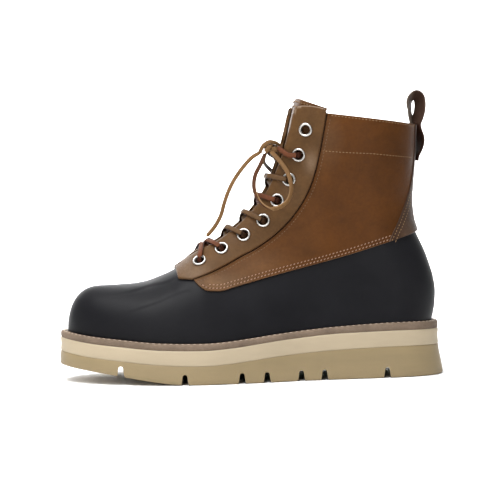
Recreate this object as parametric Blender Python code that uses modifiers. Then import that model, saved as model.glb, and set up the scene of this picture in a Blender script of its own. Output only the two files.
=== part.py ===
"""A left lace-up duck boot, standing on its sole.

The toe points to -X, the lateral side of the foot is -Y, and the floor is Z = 0.
Tables and named sizes are in millimetres, and the meshes are made in metres.
"""

import math
from collections import namedtuple

import bmesh
import bpy
import numpy as np
from mathutils import Matrix, Vector
from mathutils.bvhtree import BVHTree

MM = 0.001
GAP = 0.3

# Driving sizes of the sole
SOLE_TOE = -155.0
SOLE_HEEL = 155.0
HEEL_FLARE = 3.6
TOE_POWER = 5.5
HEEL_POWER = 8.0
SOLE_STATIONS = 26
GROOVE_TOP_Z = 8.4
GROOVE_TOP_WIDTH = 3.8
GROOVE_FOOT_WIDTH = 6.6
GROOVE_CENTRES = (-107.0, -55.3, -8.9, 11.5, 39.5, 58.5, 110.0)
MIDSOLE_HEEL = SOLE_HEEL - HEEL_FLARE
WELT_INNER_INSET = 10.2
WELT_INNER_HEEL = 9.4
INSOLE_INSET = 11.2
INSOLE_HEEL = 10.0
INSOLE_RISE = 4.0

# Walls of the upper, as offsets from its base surface
SHELL_WALL = 2.4
QUARTER_OUT = 1.7
BACKSTAY_OUT = 2.6
STAY_OUT = 2.8
GROOVE_OUT = 0.7
SHAFT_IN = -0.5
STAY_LAP_IN = 1.0
GROOVE_LAP_OUT = 1.5
GROOVE_WIDTH = 1.3
STEP_WIDTH = 0.5
TONGUE_WALL = 1.7

# Eyelets and laces
EYELET_RIM = 5.5
EYELET_BORE = 3.2
BARREL_RADIUS = 3.6
EYELET_HOLE = 4.3
EYELET_DEPTH = 2.6
EYELET_HEIGHT = 1.4
LACE_RADIUS = 1.5
CORD_RADIUS = 1.6
STRAND_ROUTE = ((0.33, 0.94, 5.4), (0.41, 0.5, 5.2), (0.48, 0.0, 4.2), (0.60, -0.6, 2.6))
EDGE_RISE = 0.28
BAR_RISE = -0.1
MEDIAL_LIFT = 0.35

# Pull loop
LOOP_WIDTH = 12.0
LOOP_THICKNESS = 1.8


def table(columns, *rows):
    """Rows with named columns. The first column is the one that rows are looked up by."""
    row_type = namedtuple("Row", columns)
    return [row_type(*row) for row in rows]


# Outline of the sole before its ends are rounded, and the upper's setback from it
WIDTHS = table(
    "x lateral medial inset",
    (-155.0, 37.0, 48.0, 6.6),
    (-130.0, 42.0, 51.5, 6.8),
    (-108.0, 47.5, 54.0, 7.0),
    (-80.0, 54.0, 57.4, 7.0),
    (-45.0, 57.0, 54.0, 7.0),
    (0.0, 52.0, 43.5, 6.4),
    (40.0, 43.5, 36.5, 6.0),
    (90.0, 39.5, 37.5, 5.2),
    (125.0, 38.0, 37.5, 5.0),
    (155.0, 37.0, 37.0, 5.0),
)

# Heights of the faces between the layers of the sole
LAYERS = table(
    "x welt_top welt_base outsole_top",
    (-155.0, 40.5, 35.5, 24.5),
    (-132.0, 37.2, 32.2, 21.2),
    (-108.0, 35.0, 30.0, 18.8),
    (-75.0, 32.3, 27.4, 15.8),
    (-45.0, 31.7, 26.8, 14.7),
    (25.0, 38.2, 33.4, 21.0),
    (66.0, 41.6, 36.6, 23.6),
    (117.0, 43.6, 37.6, 24.8),
    (155.0, 42.8, 36.9, 24.1),
)

# Underside of the outsole, which springs up at the toe
GROUND = table(
    "x z",
    (-155.0, 13.3),
    (-132.0, 10.2),
    (-108.0, 6.6),
    (-85.0, 3.0),
    (-66.0, 0.6),
    (-55.0, 0.0),
    (155.0, 0.0),
)

# Top of the toe and vamp seen from the side, behind the rounded toe
TOE_X = -148.6
TOE_CAP_END = -119.0
TOE_CAP_BASE = 40.0
TOE_CAP_RISE = 35.9
TOE_CAP_BEND = 2.6
TOE_CAP_FLATNESS = 2.2
CREST = table(
    "x z",
    (-119.0, 75.9),
    (-107.0, 76.3),
    (-95.0, 76.8),
    (-85.0, 78.4),
    (-75.0, 82.0),
    (-66.0, 85.8),
    (-60.0, 89.2),
)
VAMP_POWER = 2.6
SEAM_REACH = 0.0004

# Ribs run down from the throat line to the sole or the back seam
RIBS = table(
    "top_x top_z foot_x foot_z power taper gap",
    (-60.0, 89.2, -60.0, 31.9, 2.6, 0.00, 0.0),
    (-52.0, 94.5, -50.0, 31.8, 2.5, 0.03, 0.0),
    (-44.5, 100.0, -36.0, 32.3, 2.4, 0.10, 7.0),
    (-30.6, 106.9, -8.0, 34.8, 2.3, 0.22, 9.0),
    (-15.0, 117.5, 24.0, 38.2, 2.4, 0.35, 10.0),
    (1.0, 132.0, 66.0, 41.7, 2.9, 0.48, 11.5),
    (10.4, 144.3, 105.0, 43.5, 3.8, 0.55, 13.0),
    (15.4, 152.3, 138.0, 43.5, 5.0, 0.60, 14.0),
    (20.8, 164.5, 149.3, 70.0, 6.5, 0.64, 15.5),
    (25.4, 177.3, 137.2, 107.0, 7.5, 0.66, 17.0),
    (29.4, 189.0, 128.8, 142.0, 8.0, 0.66, 18.5),
    (32.8, 203.0, 131.0, 168.0, 8.0, 0.66, 20.0),
    (36.0, 213.0, 132.4, 186.0, 8.0, 0.66, 21.0),
    (39.0, 225.0, 133.0, 204.0, 8.0, 0.66, 22.0),
    (42.0, 238.0, 133.6, 218.0, 8.0, 0.66, 23.0),
)

# Back seam of the upper seen from the side, and its roundness in plan
BACK = table(
    "z x radius",
    (38.0, 145.2, 36.0),
    (44.0, 146.4, 36.0),
    (50.0, 147.8, 36.0),
    (58.0, 149.0, 36.0),
    (66.5, 149.4, 36.0),
    (78.0, 147.9, 36.0),
    (88.0, 145.0, 36.5),
    (98.0, 141.5, 37.0),
    (107.5, 137.2, 37.0),
    (117.0, 132.9, 38.0),
    (127.0, 130.2, 39.0),
    (142.0, 128.8, 40.0),
    (151.5, 129.6, 41.0),
    (161.0, 130.5, 42.0),
    (171.0, 131.4, 43.0),
    (185.0, 132.3, 45.0),
    (202.0, 133.0, 47.0),
    (240.0, 134.0, 48.0),
)

# The foot's outline turns into the leg's over these stretches, along the foot and upwards
LEG_FROM_X = -70.0
LEG_SPAN_X = 90.0
LEG_FROM_Z = 45.0
LEG_SPAN_Z = 70.0

# Half width of the leg of the boot before its front and back are rounded
LEG = table(
    "z half",
    (40.0, 34.0),
    (75.0, 34.5),
    (100.0, 36.0),
    (141.0, 38.0),
    (170.0, 41.0),
    (200.0, 44.0),
    (240.0, 45.0),
)

# Lower edge of the leather on the shell, from the backstay to its rounded front corner
LOW_EDGE = table(
    "x z",
    (-48.8, 80.7),
    (-44.5, 75.8),
    (-38.6, 72.4),
    (-28.5, 71.9),
    (-18.4, 74.2),
    (10.4, 81.6),
    (47.3, 90.8),
    (75.7, 98.3),
    (107.0, 107.9),
)

# Courses of the shaft from its lower edge to the collar: where each one meets
# the back seam, the backstay's edge, the groove and the stay's front edge
COURSES = table(
    "back_z edge_x edge_z groove_x groove_z front_x front_z",
    (115.5, 107.0, 107.9, -48.8, 80.7, -60.1, 80.9),
    (119.5, 108.6, 111.8, -43.0, 82.6, -60.8, 86.2),
    (124.0, 110.8, 116.6, -36.5, 84.9, -55.5, 90.8),
    (130.5, 114.0, 123.2, -23.0, 90.8, -44.5, 100.0),
    (137.5, 117.6, 131.6, -10.5, 97.4, -29.5, 107.6),
    (144.5, 120.8, 139.6, 2.0, 103.6, -15.0, 117.5),
    (151.5, 123.6, 147.2, 15.5, 112.8, -3.0, 128.2),
    (159.0, 125.8, 154.6, 28.6, 124.8, 7.2, 140.0),
    (167.0, 127.6, 163.0, 39.4, 139.2, 14.8, 151.3),
    (176.0, 128.9, 172.0, 47.4, 155.6, 21.4, 166.2),
    (185.0, 129.6, 182.0, 52.4, 173.6, 26.8, 181.3),
    (193.5, 129.9, 192.0, 56.0, 191.6, 31.0, 195.6),
    (201.5, 130.2, 201.6, 59.7, 211.0, 36.8, 212.6),
)
EDGE_PARTS = (0.0, 0.35, 0.62, 0.80, 0.92, 0.98, 1.0)
QUARTER_PARTS = (0.0, 0.10, 0.21, 0.33, 0.46, 0.59, 0.71, 0.81, 0.88, 0.935, 0.975, 1.0)
STAY_PARTS = (0.34, 0.68)
STAY_TOP = ((52.5, 216.2), (43.0, 217.2))
STAY_TOP_BACK = (58.6, 213.4)
LAP_COURSES = 3
BACKSTAY_STEP_DROP = 0.1

# Rows of the shell from the sole up, as parts of its height, at the toe cap, beside the
# throat and up to the lower edge of the leather
TOE_ROWS = (0.0, 0.18, 0.35, 0.53, 0.58, 0.78, 0.82, 1.0)
THROAT_ROWS = (0.0, 0.24, 0.47, 0.69, 0.73, 0.86, 0.93, 1.0)
SIDE_ROWS = (0.0, 0.26, 0.50, 0.72, 0.86)
HEEL_FOOT_X = 145.0
HEEL_BEND_FROM_X = 40.0
TOE_CAP_ANGLES = (90, 76, 62, 48, 33, 17)
VAMP_COLUMNS = (-119.0, -104.0, -90.0, -78.0, -68.0, -60.0, -54.0)
THROAT_COLUMNS = table("foot_x top_x top_z", (-52.6, -51.6, 90.0), (-51.2, -44.5, 87.6))

# Two soft steps run over each side of the vamp from the throat towards the toe
STEP_HEIGHT = 0.9
STEP_HALF = 0.8
STEP_FADE = 8.0
LOW_STEP = table(
    "x z",
    (-119.0, 56.5),
    (-100.8, 57.0),
    (-90.0, 60.2),
    (-78.0, 64.0),
    (-67.2, 68.6),
    (-55.1, 72.6),
    (-49.1, 73.1),
)
HIGH_STEP = table(
    "x z",
    (-119.0, 67.7),
    (-94.3, 72.7),
    (-82.2, 76.1),
    (-70.2, 78.8),
    (-62.3, 82.3),
    (-54.0, 86.0),
)
STEP_ENDS = (((-108.0, -86.0), (-56.0, -50.0)), ((-122.0, -98.0), (-66.0, -61.0)))

# Eyelet centres on each side, from the lowest up
EYELETS = table(
    "x z",
    (-42.9, 94.0),
    (-25.1, 103.4),
    (-7.2, 114.3),
    (8.7, 125.9),
    (20.1, 141.9),
    (29.6, 158.9),
    (37.3, 178.3),
    (42.8, 198.0),
)

# Middle of the pull loop's strap seen from the side, from inside the collar round to its tail
LOOP_PATH = (
    (129.7, 188.0), (130.1, 202.0), (129.2, 208.5), (129.2, 214.5), (130.4, 220.5),
    (133.6, 224.8), (137.8, 226.0), (140.8, 223.6), (141.8, 218.6), (141.2, 212.6),
    (139.4, 206.8), (137.6, 201.8), (138.4, 196.8), (140.3, 191.6), (140.4, 186.6),
    (138.6, 181.0), (136.3, 176.4), (135.4, 172.0),
)

# Knot of the bow, and the middles of its loops and ends
KNOT_PLACE = (14.0, -4.5, 184.4)
KNOT_SIZE = (7.6, 7.0, 5.6)
CORD_ROUTES = {
    "lace_loop_lateral": (
        (21.5, -22.0, 174.0), (27.3, -30.0, 164.0), (29.6, -34.0, 153.0), (27.8, -35.5, 144.5),
        (23.5, -36.0, 139.5), (16.5, -35.0, 136.3), (10.5, -32.5, 137.2), (5.0, -29.0, 141.6),
        (1.6, -25.0, 148.6), (1.0, -21.0, 155.6), (2.8, -17.0, 163.2), (7.3, -12.5, 171.0),
    ),
    "lace_end_lateral": (
        (0.5, -8.0, 176.3), (-7.0, -9.5, 168.4), (-13.9, -10.5, 158.9), (-18.9, -11.0, 149.3),
        (-22.3, -11.0, 139.8), (-25.2, -10.5, 130.2), (-30.3, -10.0, 121.4), (-36.6, -9.5, 114.2),
    ),
    "lace_loop_medial": (
        (17.0, 9.0, 179.0), (19.8, 20.0, 178.0), (25.5, 30.5, 174.5), (33.5, 34.5, 168.5),
        (38.5, 35.5, 159.0), (38.0, 35.0, 149.0), (33.0, 34.5, 141.5), (27.0, 34.5, 140.0),
        (23.5, 34.5, 146.5), (23.5, 35.5, 156.0), (20.8, 32.5, 164.5), (15.2, 21.5, 169.5),
        (12.5, 10.5, 173.5),
    ),
    "lace_end_medial": (
        (15.0, 10.5, 187.0), (18.0, 23.5, 184.0), (24.0, 35.5, 175.5), (27.0, 39.5, 166.0),
        (26.0, 40.5, 155.0), (22.0, 39.0, 143.5), (15.5, 35.0, 131.5), (6.0, 31.0, 120.5),
    ),
}

# Colours, roughness and metal of each material
FINISHES = {
    "black_rubber": ((0.017, 0.018, 0.021), 0.50, 0.0),
    "brown_leather": ((0.135, 0.062, 0.022), 0.50, 0.0),
    "tongue_leather": ((0.120, 0.060, 0.026), 0.60, 0.0),
    "loop_leather": ((0.110, 0.060, 0.035), 0.60, 0.0),
    "welt_leather": ((0.420, 0.235, 0.160), 0.65, 0.0),
    "cream_foam": ((0.600, 0.500, 0.340), 0.70, 0.0),
    "gum_rubber": ((0.390, 0.300, 0.160), 0.60, 0.0),
    "footbed": ((0.300, 0.220, 0.140), 0.80, 0.0),
    "nickel": ((0.700, 0.680, 0.650), 0.30, 1.0),
    "lace_rawhide": ((0.230, 0.080, 0.045), 0.60, 0.0),
}


def at(rows, x):
    """The row at x, on smooth curves through a table's rows that never overshoot them."""
    keys = [row[0] for row in rows]
    x = min(max(x, keys[0]), keys[-1])
    i = min(int(np.searchsorted(keys, x, side="right")) - 1, len(rows) - 2)
    points = np.array(rows[max(i - 1, 0):i + 3], dtype=float)
    k = 0 if i == 0 else 1
    steps = np.diff(points[:, 0])[:, None]
    slopes = np.diff(points, axis=0) / steps
    start = end = slopes[k]
    if k == 1:
        start = joint_slope(slopes[0], slopes[1], steps[0], steps[1])
    if k + 1 < len(slopes):
        end = joint_slope(slopes[k], slopes[k + 1], steps[k], steps[k + 1])
    width = float(steps[k][0])
    t = (x - keys[i]) / width
    value = (
        (2 * t**3 - 3 * t**2 + 1) * points[k]
        + (t**3 - 2 * t**2 + t) * width * start
        + (3 * t**2 - 2 * t**3) * points[k + 1]
        + (t**3 - t**2) * width * end
    )
    return type(rows[0])(*value)


def joint_slope(before, after, step_before, step_after):
    """The slope where two stretches meet: a weighted harmonic mean, or none at a peak."""
    same = before * after > 0
    safe_before = np.where(same, before, 1.0)
    safe_after = np.where(same, after, 1.0)
    w1 = 2 * step_after + step_before
    w2 = step_after + 2 * step_before
    return np.where(same, (w1 + w2) / (w1 / safe_before + w2 / safe_after), 0.0)


def ease(t):
    """A smooth step from 0 to 1."""
    t = min(max(t, 0.0), 1.0)
    return t * t * (3.0 - 2.0 * t)


def mix(a, b, t):
    return a + (b - a) * t


def end_round(x, toe, heel):
    """How far the outline is open at x, from 0 at the two tips to 1 along the middle."""
    t = (2.0 * x - toe - heel) / (heel - toe)
    power = TOE_POWER if t < 0 else HEEL_POWER
    return math.sqrt(max(0.0, 1.0 - abs(t) ** power))


# The upper's base surface


def crest(x):
    """Height of the top of the toe and vamp."""
    if x >= TOE_CAP_END:
        return at(CREST, x).z
    q = min((TOE_CAP_END - x) / (TOE_CAP_END - TOE_X), 1.0)
    return TOE_CAP_BASE + TOE_CAP_RISE * (1.0 - q**TOE_CAP_BEND) ** (1 / TOE_CAP_FLATNESS)


def feather(x):
    """Height of the upper's lower edge, on the welt."""
    return at(LAYERS, x).welt_top + GAP


def rib_rows():
    """The ribs of the whole upper, close together, from the toe to the collar."""
    rows = []
    for i in range(121):
        x = mix(TOE_X, RIBS[0].top_x, (i / 121) ** 1.5)
        rows.append((x, crest(x), x, feather(x), VAMP_POWER, 0.0, 0.0))
    keyed = [(float(k),) + tuple(row) for k, row in enumerate(RIBS)]
    row_type = namedtuple("Keyed", "key " + " ".join(RIBS[0]._fields))
    keyed = [row_type(*row) for row in keyed]
    for i in range(261):
        rows.append(tuple(at(keyed, i * (len(RIBS) - 1) / 260))[1:])
    return np.array(rows)


RIB_ROWS = rib_rows()


def rib_at(x, z):
    """Rib through a point of the side view, as (top_x, top_z, power, taper, gap, height)."""
    tx, tz, bx, bz = RIB_ROWS[:, 0], RIB_ROWS[:, 1], RIB_ROWS[:, 2], RIB_ROWS[:, 3]
    side = (x - bx) * (tz - bz) - (z - bz) * (tx - bx)
    ahead = np.nonzero(side > 0)[0]
    i = 0 if len(ahead) == 0 else min(int(ahead[-1]), len(side) - 2)
    span = side[i] - side[i + 1]
    part = 0.0 if abs(span) < 1e-9 else min(max(side[i] / span, 0.0), 1.0)
    tx, tz, bx, bz, power, taper, gap = mix(RIB_ROWS[i], RIB_ROWS[i + 1], part)
    length = (tx - bx) ** 2 + (tz - bz) ** 2
    height = ((x - bx) * (tx - bx) + (z - bz) * (tz - bz)) / max(length, 1e-9)
    return tx, tz, power, taper, gap, min(max(height, 0.0), 1.0)


def leg_part(x, z):
    """0 where the upper follows the sole's outline, 1 where it follows the leg."""
    return ease((x - LEG_FROM_X) / LEG_SPAN_X) * ease((z - LEG_FROM_Z) / LEG_SPAN_Z)


def middle(x, z):
    """Y of the upper's middle at a point of the side view."""
    row = at(WIDTHS, x)
    return mix((row.medial - row.lateral) / 2.0, 0.0, leg_part(x, z))


def half_width(x, z):
    """Half the upper's width at a point of the side view."""
    row = at(WIDTHS, x)
    foot = (row.medial + row.lateral) / 2.0 - row.inset
    if x < 0:
        foot *= end_round(x, TOE_X, -TOE_X)
    wide = mix(foot, at(LEG, z).half, leg_part(x, z))
    power, taper, gap, height = rib_at(x, z)[2:]
    back = at(BACK, z)
    depth = min(max((back.x - x) / back.radius, 0.0), 1.0)
    heel = math.sqrt(1.0 - (1.0 - depth) ** 2)
    if height > 1.0 - SEAM_REACH:
        height = 1.0
    top = math.sqrt(max(0.0, 1.0 - height**power)) * (1.0 - taper * height)
    return heel * (gap + (wide - gap) * top)


def skin(x, z, side, out=0.0, level=False):
    """A point of the upper, moved out from the base surface along its normal, in mm.

    side is -1 on the lateral side and +1 on the medial side. At a seam, where the two
    sides meet, the normal lies in the middle plane. With level it has no slope."""
    wide = half_width(x, z)
    step = 0.25
    slope_x = (half_width(x + step, z) - half_width(x - step, z)) / (2 * step)
    slope_z = 0.0 if level else (half_width(x, z + step) - half_width(x, z - step)) / (2 * step)
    normal = Vector((-slope_x, side if wide > 0.05 else 0.0, -slope_z)).normalized()
    return Vector((x, middle(x, z) + side * wide, z)) + normal * out


def vamp_step(x, z):
    """Height of the soft steps on the vamp: none below a line, then a rise that fades upwards."""
    rise = 0.0
    for rows, (front, back) in zip((LOW_STEP, HIGH_STEP), STEP_ENDS):
        fade = ease((x - front[0]) / (front[1] - front[0])) * ease((back[1] - x) / (back[1] - back[0]))
        above = z - at(rows, x).z
        fade *= 1.0 - ease((above - STEP_HALF) / STEP_FADE)
        rise += STEP_HEIGHT * fade * ease(above / (2 * STEP_HALF) + 0.5)
    return rise


# Making objects


def collection(name):
    made = bpy.data.collections.new(name)
    bpy.context.scene.collection.children.link(made)
    return made


def finish_of(name):
    """The material of this name, made at its first use."""
    if name in bpy.data.materials:
        return bpy.data.materials[name]
    colour, roughness, metallic = FINISHES[name]
    material = bpy.data.materials.new(name)
    material.use_nodes = True
    shader = material.node_tree.nodes["Principled BSDF"]
    shader.inputs["Base Color"].default_value = (*colour, 1.0)
    shader.inputs["Roughness"].default_value = roughness
    shader.inputs["Metallic"].default_value = metallic
    return material


def add_object(name, mesh, finish, parent):
    item = bpy.data.objects.new(name, mesh)
    item.data.materials.append(finish_of(finish))
    item.parent = parent
    PARTS.objects.link(item)
    return item


def smooth(mesh, angle=38):
    mesh.shade_smooth()
    mesh.set_sharp_from_angle(angle=math.radians(angle))


def mesh_of(name, points, faces):
    """A mesh with its faces turned out. Points in mm, repeated corners of a face dropped."""
    bm = bmesh.new()
    verts = [bm.verts.new(Vector(point) * MM) for point in points]
    for face in faces:
        corners = list(dict.fromkeys(face))
        if len(corners) > 2:
            bm.faces.new([verts[i] for i in corners])
    bmesh.ops.recalc_face_normals(bm, faces=bm.faces)
    mesh = bpy.data.meshes.new(name)
    bm.to_mesh(mesh)
    bm.free()
    smooth(mesh)
    return mesh


class Sheet:
    """A sheet on the upper, with an outer and an inner point at each corner.

    Corners in one place are one corner, so that the two sides join at a seam."""

    def __init__(self):
        self.keys = {}
        self.base = []
        self.outer = []
        self.inner = []
        self.faces = []

    def corner(self, x, z, side, out, inn, level=False):
        outer = skin(x, z, side, out, level)
        key = tuple(round(value, 2) for value in outer)
        if key not in self.keys:
            self.keys[key] = len(self.outer)
            self.base.append(skin(x, z, side))
            self.outer.append(outer)
            self.inner.append(skin(x, z, side, inn, level))
        return self.keys[key]

    def grid(self, rows):
        """Triangles between neighbouring rows of corners, along each quad's shorter diagonal.

        The same four places are split the same way in every sheet, so laps stay clear."""
        for low, high in zip(rows, rows[1:]):
            for a, b, c, d in zip(low, low[1:], high[1:], high):
                if (self.base[a] - self.base[c]).length < (self.base[b] - self.base[d]).length:
                    self.faces += [(a, b, c), (a, c, d)]
                else:
                    self.faces += [(a, b, d), (b, c, d)]

    def wall(self, name):
        """The closed wall between the outer and the inner points."""
        faces = [tuple(dict.fromkeys(face)) for face in self.faces]
        faces = [face for face in faces if len(face) > 2]
        used = {}
        for face in faces:
            for a, b in zip(face, face[1:] + face[:1]):
                used[frozenset((a, b))] = used.get(frozenset((a, b)), 0) + 1
        count = len(self.outer)
        solid = list(faces) + [tuple(i + count for i in face) for face in faces]
        for face in faces:
            for a, b in zip(face, face[1:] + face[:1]):
                if used[frozenset((a, b))] == 1:
                    solid.append((a, b, b + count, a + count))
        return mesh_of(name, self.outer + self.inner, solid)


# Sole


def outline_half(x, side, toe, heel, inset):
    row = at(WIDTHS, x)
    wide = row.lateral if side < 0 else row.medial
    centre = (row.medial - row.lateral) / 2.0
    reach = wide - side * centre - inset
    return centre + side * reach * end_round(x, toe, heel)


def stations(count):
    """Places from -1 at the toe to +1 at the heel, close together at both ends."""
    return [-math.cos(math.pi * i / count) for i in range(count + 1)]


def slab_points(rings, count):
    """Corners of a slab, ring by ring. A ring is (toe, heel, inset, height function)."""
    grid = []
    for t in stations(count):
        section = []
        for side in (-1, 1):
            for toe, heel, inset, height in (rings if side < 0 else rings[::-1]):
                x = mix(toe, heel, (t + 1) / 2)
                section.append((x, outline_half(x, side, toe, heel, inset), height(x)))
        grid.append(section)
    return grid


def slab(name, rings, count=SOLE_STATIONS):
    """A closed layer of the sole, lofted along the foot through rings from its foot up."""
    grid = slab_points(rings, count)
    points = []
    keys = {}
    numbers = []
    for section in grid:
        row = []
        for point in section:
            key = tuple(round(value, 3) for value in point)
            if key not in keys:
                keys[key] = len(points)
                points.append(point)
            row.append(keys[key])
        numbers.append(row)
    faces = []
    for near, far in zip(numbers, numbers[1:]):
        for k in range(len(near)):
            after = (k + 1) % len(near)
            faces.append((near[k], near[after], far[after], far[k]))
    return mesh_of(name, points, faces)


def ring_slab(name, outer, inner, count=SOLE_STATIONS):
    """A closed ring of the sole between two outlines, each given as (low ring, high ring)."""
    loops = []
    for toe, heel, inset, height in (outer[0], outer[1], inner[1], inner[0]):
        places = [mix(toe, heel, (t + 1) / 2) for t in stations(count)]
        lateral = [(x, outline_half(x, -1, toe, heel, inset), height(x)) for x in places]
        medial = [(x, outline_half(x, 1, toe, heel, inset), height(x)) for x in places]
        loops.append(lateral + medial[-2:0:-1])
    size = len(loops[0])
    points = [point for loop in loops for point in loop]
    faces = []
    for k in range(4):
        for i in range(size):
            j = (i + 1) % size
            after = (k + 1) % 4
            faces.append((k * size + i, k * size + j, after * size + j, after * size + i))
    return mesh_of(name, points, faces)


def ground(x):
    return at(GROUND, x).z


def outsole_top(x):
    return at(LAYERS, x).outsole_top - GAP


def outsole_waist(x):
    return mix(ground(x), outsole_top(x), 0.55)


def make_outsole(parent):
    rings = [
        (SOLE_TOE + 1.2, SOLE_HEEL - 0.8, 1.0, ground),
        (SOLE_TOE, SOLE_HEEL, 0.0, lambda x: ground(x) + 1.0),
        (SOLE_TOE, mix(SOLE_HEEL, MIDSOLE_HEEL, 0.5), 0.0, outsole_waist),
        (SOLE_TOE + 0.6, MIDSOLE_HEEL, 0.6, lambda x: outsole_top(x) - 1.2),
        (SOLE_TOE + 1.4, MIDSOLE_HEEL - 0.9, 1.4, outsole_top),
    ]
    item = add_object("outsole", slab("outsole", rings), "gum_rubber", parent)
    for i, x in enumerate(GROOVE_CENTRES):
        cut(item, groove_cutter(i, x))
    return item


def groove_cutter(index, x):
    """A cross groove with sloping sides and a rounded top, a little askew across the sole."""
    low = ground(x)
    lean = math.atan2(x + 140.0, 1590.0)
    half_top = GROOVE_TOP_WIDTH / 2
    profile = [(-GROOVE_FOOT_WIDTH / 2 - 0.4, low - 3.0)]
    for k in range(5):
        angle = math.pi * (1 - k / 4)
        z = low + GROOVE_TOP_Z - half_top + half_top * math.sin(angle)
        profile.append((half_top * math.cos(angle), z))
    profile.append((GROOVE_FOOT_WIDTH / 2 + 0.4, low - 3.0))
    points = []
    for y in (-75.0, 75.0):
        points += [(x + px + y * math.tan(lean), y, pz) for px, pz in profile]
    size = len(profile)
    faces = [tuple(range(size)), tuple(range(size, 2 * size))]
    faces += [(i, (i + 1) % size, size + (i + 1) % size, size + i) for i in range(size)]
    return add_cutter(f"groove_cutter_{index}", mesh_of(f"groove_cutter_{index}", points, faces))


def make_midsole(parent):
    rings = [
        (SOLE_TOE + 1.0, MIDSOLE_HEEL - 0.6, 1.0, lambda x: at(LAYERS, x).outsole_top),
        (SOLE_TOE + 0.4, MIDSOLE_HEEL, 0.4, lambda x: at(LAYERS, x).outsole_top + 1.0),
        (SOLE_TOE + 0.4, MIDSOLE_HEEL, 0.4, lambda x: at(LAYERS, x).welt_base - 1.2),
        (SOLE_TOE + 1.2, MIDSOLE_HEEL - 0.8, 1.2, lambda x: at(LAYERS, x).welt_base - GAP),
    ]
    return add_object("midsole", slab("midsole", rings), "cream_foam", parent)


def make_welt(parent):
    low = (SOLE_TOE + 0.8, MIDSOLE_HEEL - 0.4, 0.8, lambda x: at(LAYERS, x).welt_base)
    high = (SOLE_TOE + 1.2, MIDSOLE_HEEL - 0.8, 1.2, lambda x: at(LAYERS, x).welt_top)
    toe = SOLE_TOE + WELT_INNER_INSET
    heel = MIDSOLE_HEEL - WELT_INNER_HEEL
    inner = [(toe, heel, WELT_INNER_INSET, height) for height in (low[3], high[3])]
    return add_object("welt", ring_slab("welt", (low, high), inner), "welt_leather", parent)


def make_insole(parent):
    toe = SOLE_TOE + INSOLE_INSET
    heel = MIDSOLE_HEEL - INSOLE_HEEL
    rings = [
        (toe, heel, INSOLE_INSET, lambda x: at(LAYERS, x).welt_base + GAP),
        (toe, heel, INSOLE_INSET, lambda x: at(LAYERS, x).welt_top + INSOLE_RISE - 1.0),
        (toe + 1.0, heel - 1.0, INSOLE_INSET + 1.0, lambda x: at(LAYERS, x).welt_top + INSOLE_RISE),
    ]
    return add_object("insole", slab("insole", rings), "footbed", parent)


# Upper


def low_edge(x):
    return at(LOW_EDGE, x).z


def course_points(k):
    """Points of a course from the back seam to the groove, in the side view."""
    course = COURSES[k]
    seam_x = at(BACK, course.back_z).x
    points = []
    for part in EDGE_PARTS[::-1]:
        points.append((mix(course.edge_x, seam_x, part), mix(course.edge_z, course.back_z, part)))
    first = COURSES[0]
    bend = (1.0 - k / (len(COURSES) - 1)) ** 2
    for part in QUARTER_PARTS[1:]:
        x0 = mix(first.edge_x, first.groove_x, part)
        sag = low_edge(x0) - mix(first.edge_z, first.groove_z, part)
        x = mix(course.edge_x, course.groove_x, part)
        z = mix(course.edge_z, course.groove_z, part) + sag * bend
        points.append((x, z))
    return points


def shell_columns():
    """Columns of the shell from the toe's tip to the back seam, in the side view."""
    columns = []
    for angle in TOE_CAP_ANGLES:
        x = TOE_CAP_END - (TOE_CAP_END - TOE_X) * math.sin(math.radians(angle))
        columns.append([(x, mix(feather(x), crest(x), part)) for part in TOE_ROWS])
    for x in VAMP_COLUMNS:
        foot = feather(x)
        low = at(LOW_STEP, x).z
        high = at(HIGH_STEP, x).z
        past = max(0.0, (x - RIBS[0].top_x) / (RIBS[1].top_x - RIBS[0].top_x))
        top = mix(RIBS[0].top_z, RIBS[1].top_z, past) if past > 0.0 else crest(x)
        rows = [mix(foot, low - STEP_HALF, part / 3) for part in range(4)]
        rows += [low + STEP_HALF, high - STEP_HALF, high + STEP_HALF, top]
        columns.append([(x, z) for z in rows])
    for row in THROAT_COLUMNS:
        foot = (row.foot_x, feather(row.foot_x))
        top = (row.top_x, row.top_z)
        columns.append([(mix(foot[0], top[0], p**6), mix(foot[1], top[1], p)) for p in THROAT_ROWS])
    laps = [course_points(k) for k in range(LAP_COURSES)]
    seam_low = laps[0][0]
    heel_foot = feather(HEEL_FOOT_X)
    seam_foot_x = at(BACK, heel_foot).x
    for i in range(len(laps[0]) - 1, -1, -1):
        edge = laps[0][i]
        follow = ease((edge[0] - HEEL_BEND_FROM_X) / (seam_low[0] - HEEL_BEND_FROM_X))
        foot_x = edge[0] + follow * (seam_foot_x - seam_low[0])
        foot_z = feather(foot_x)
        column = []
        for rise in SIDE_ROWS:
            z = mix(foot_z, edge[1], rise)
            chord = mix(seam_foot_x, seam_low[0], rise)
            bulge = at(BACK, mix(heel_foot, seam_low[1], rise)).x - chord
            x = at(BACK, z).x if i == 0 else mix(foot_x, edge[0], rise) + follow * bulge
            column.append((x, z))
        column += [lap[i] for lap in laps]
        columns.append(column)
    return columns


def make_upper_shell(parent):
    sheet = Sheet()
    columns = shell_columns()
    for side in (-1, 1):
        rows = []
        for column in columns:
            row = []
            for k, (x, z) in enumerate(column):
                out = vamp_step(x, z)
                row.append(sheet.corner(x, z, side, out, -SHELL_WALL, level=(k == 0)))
            rows.append(row)
        sheet.grid(rows)
    return add_object("upper_shell", sheet.wall("upper_shell"), "black_rubber", parent)


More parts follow.
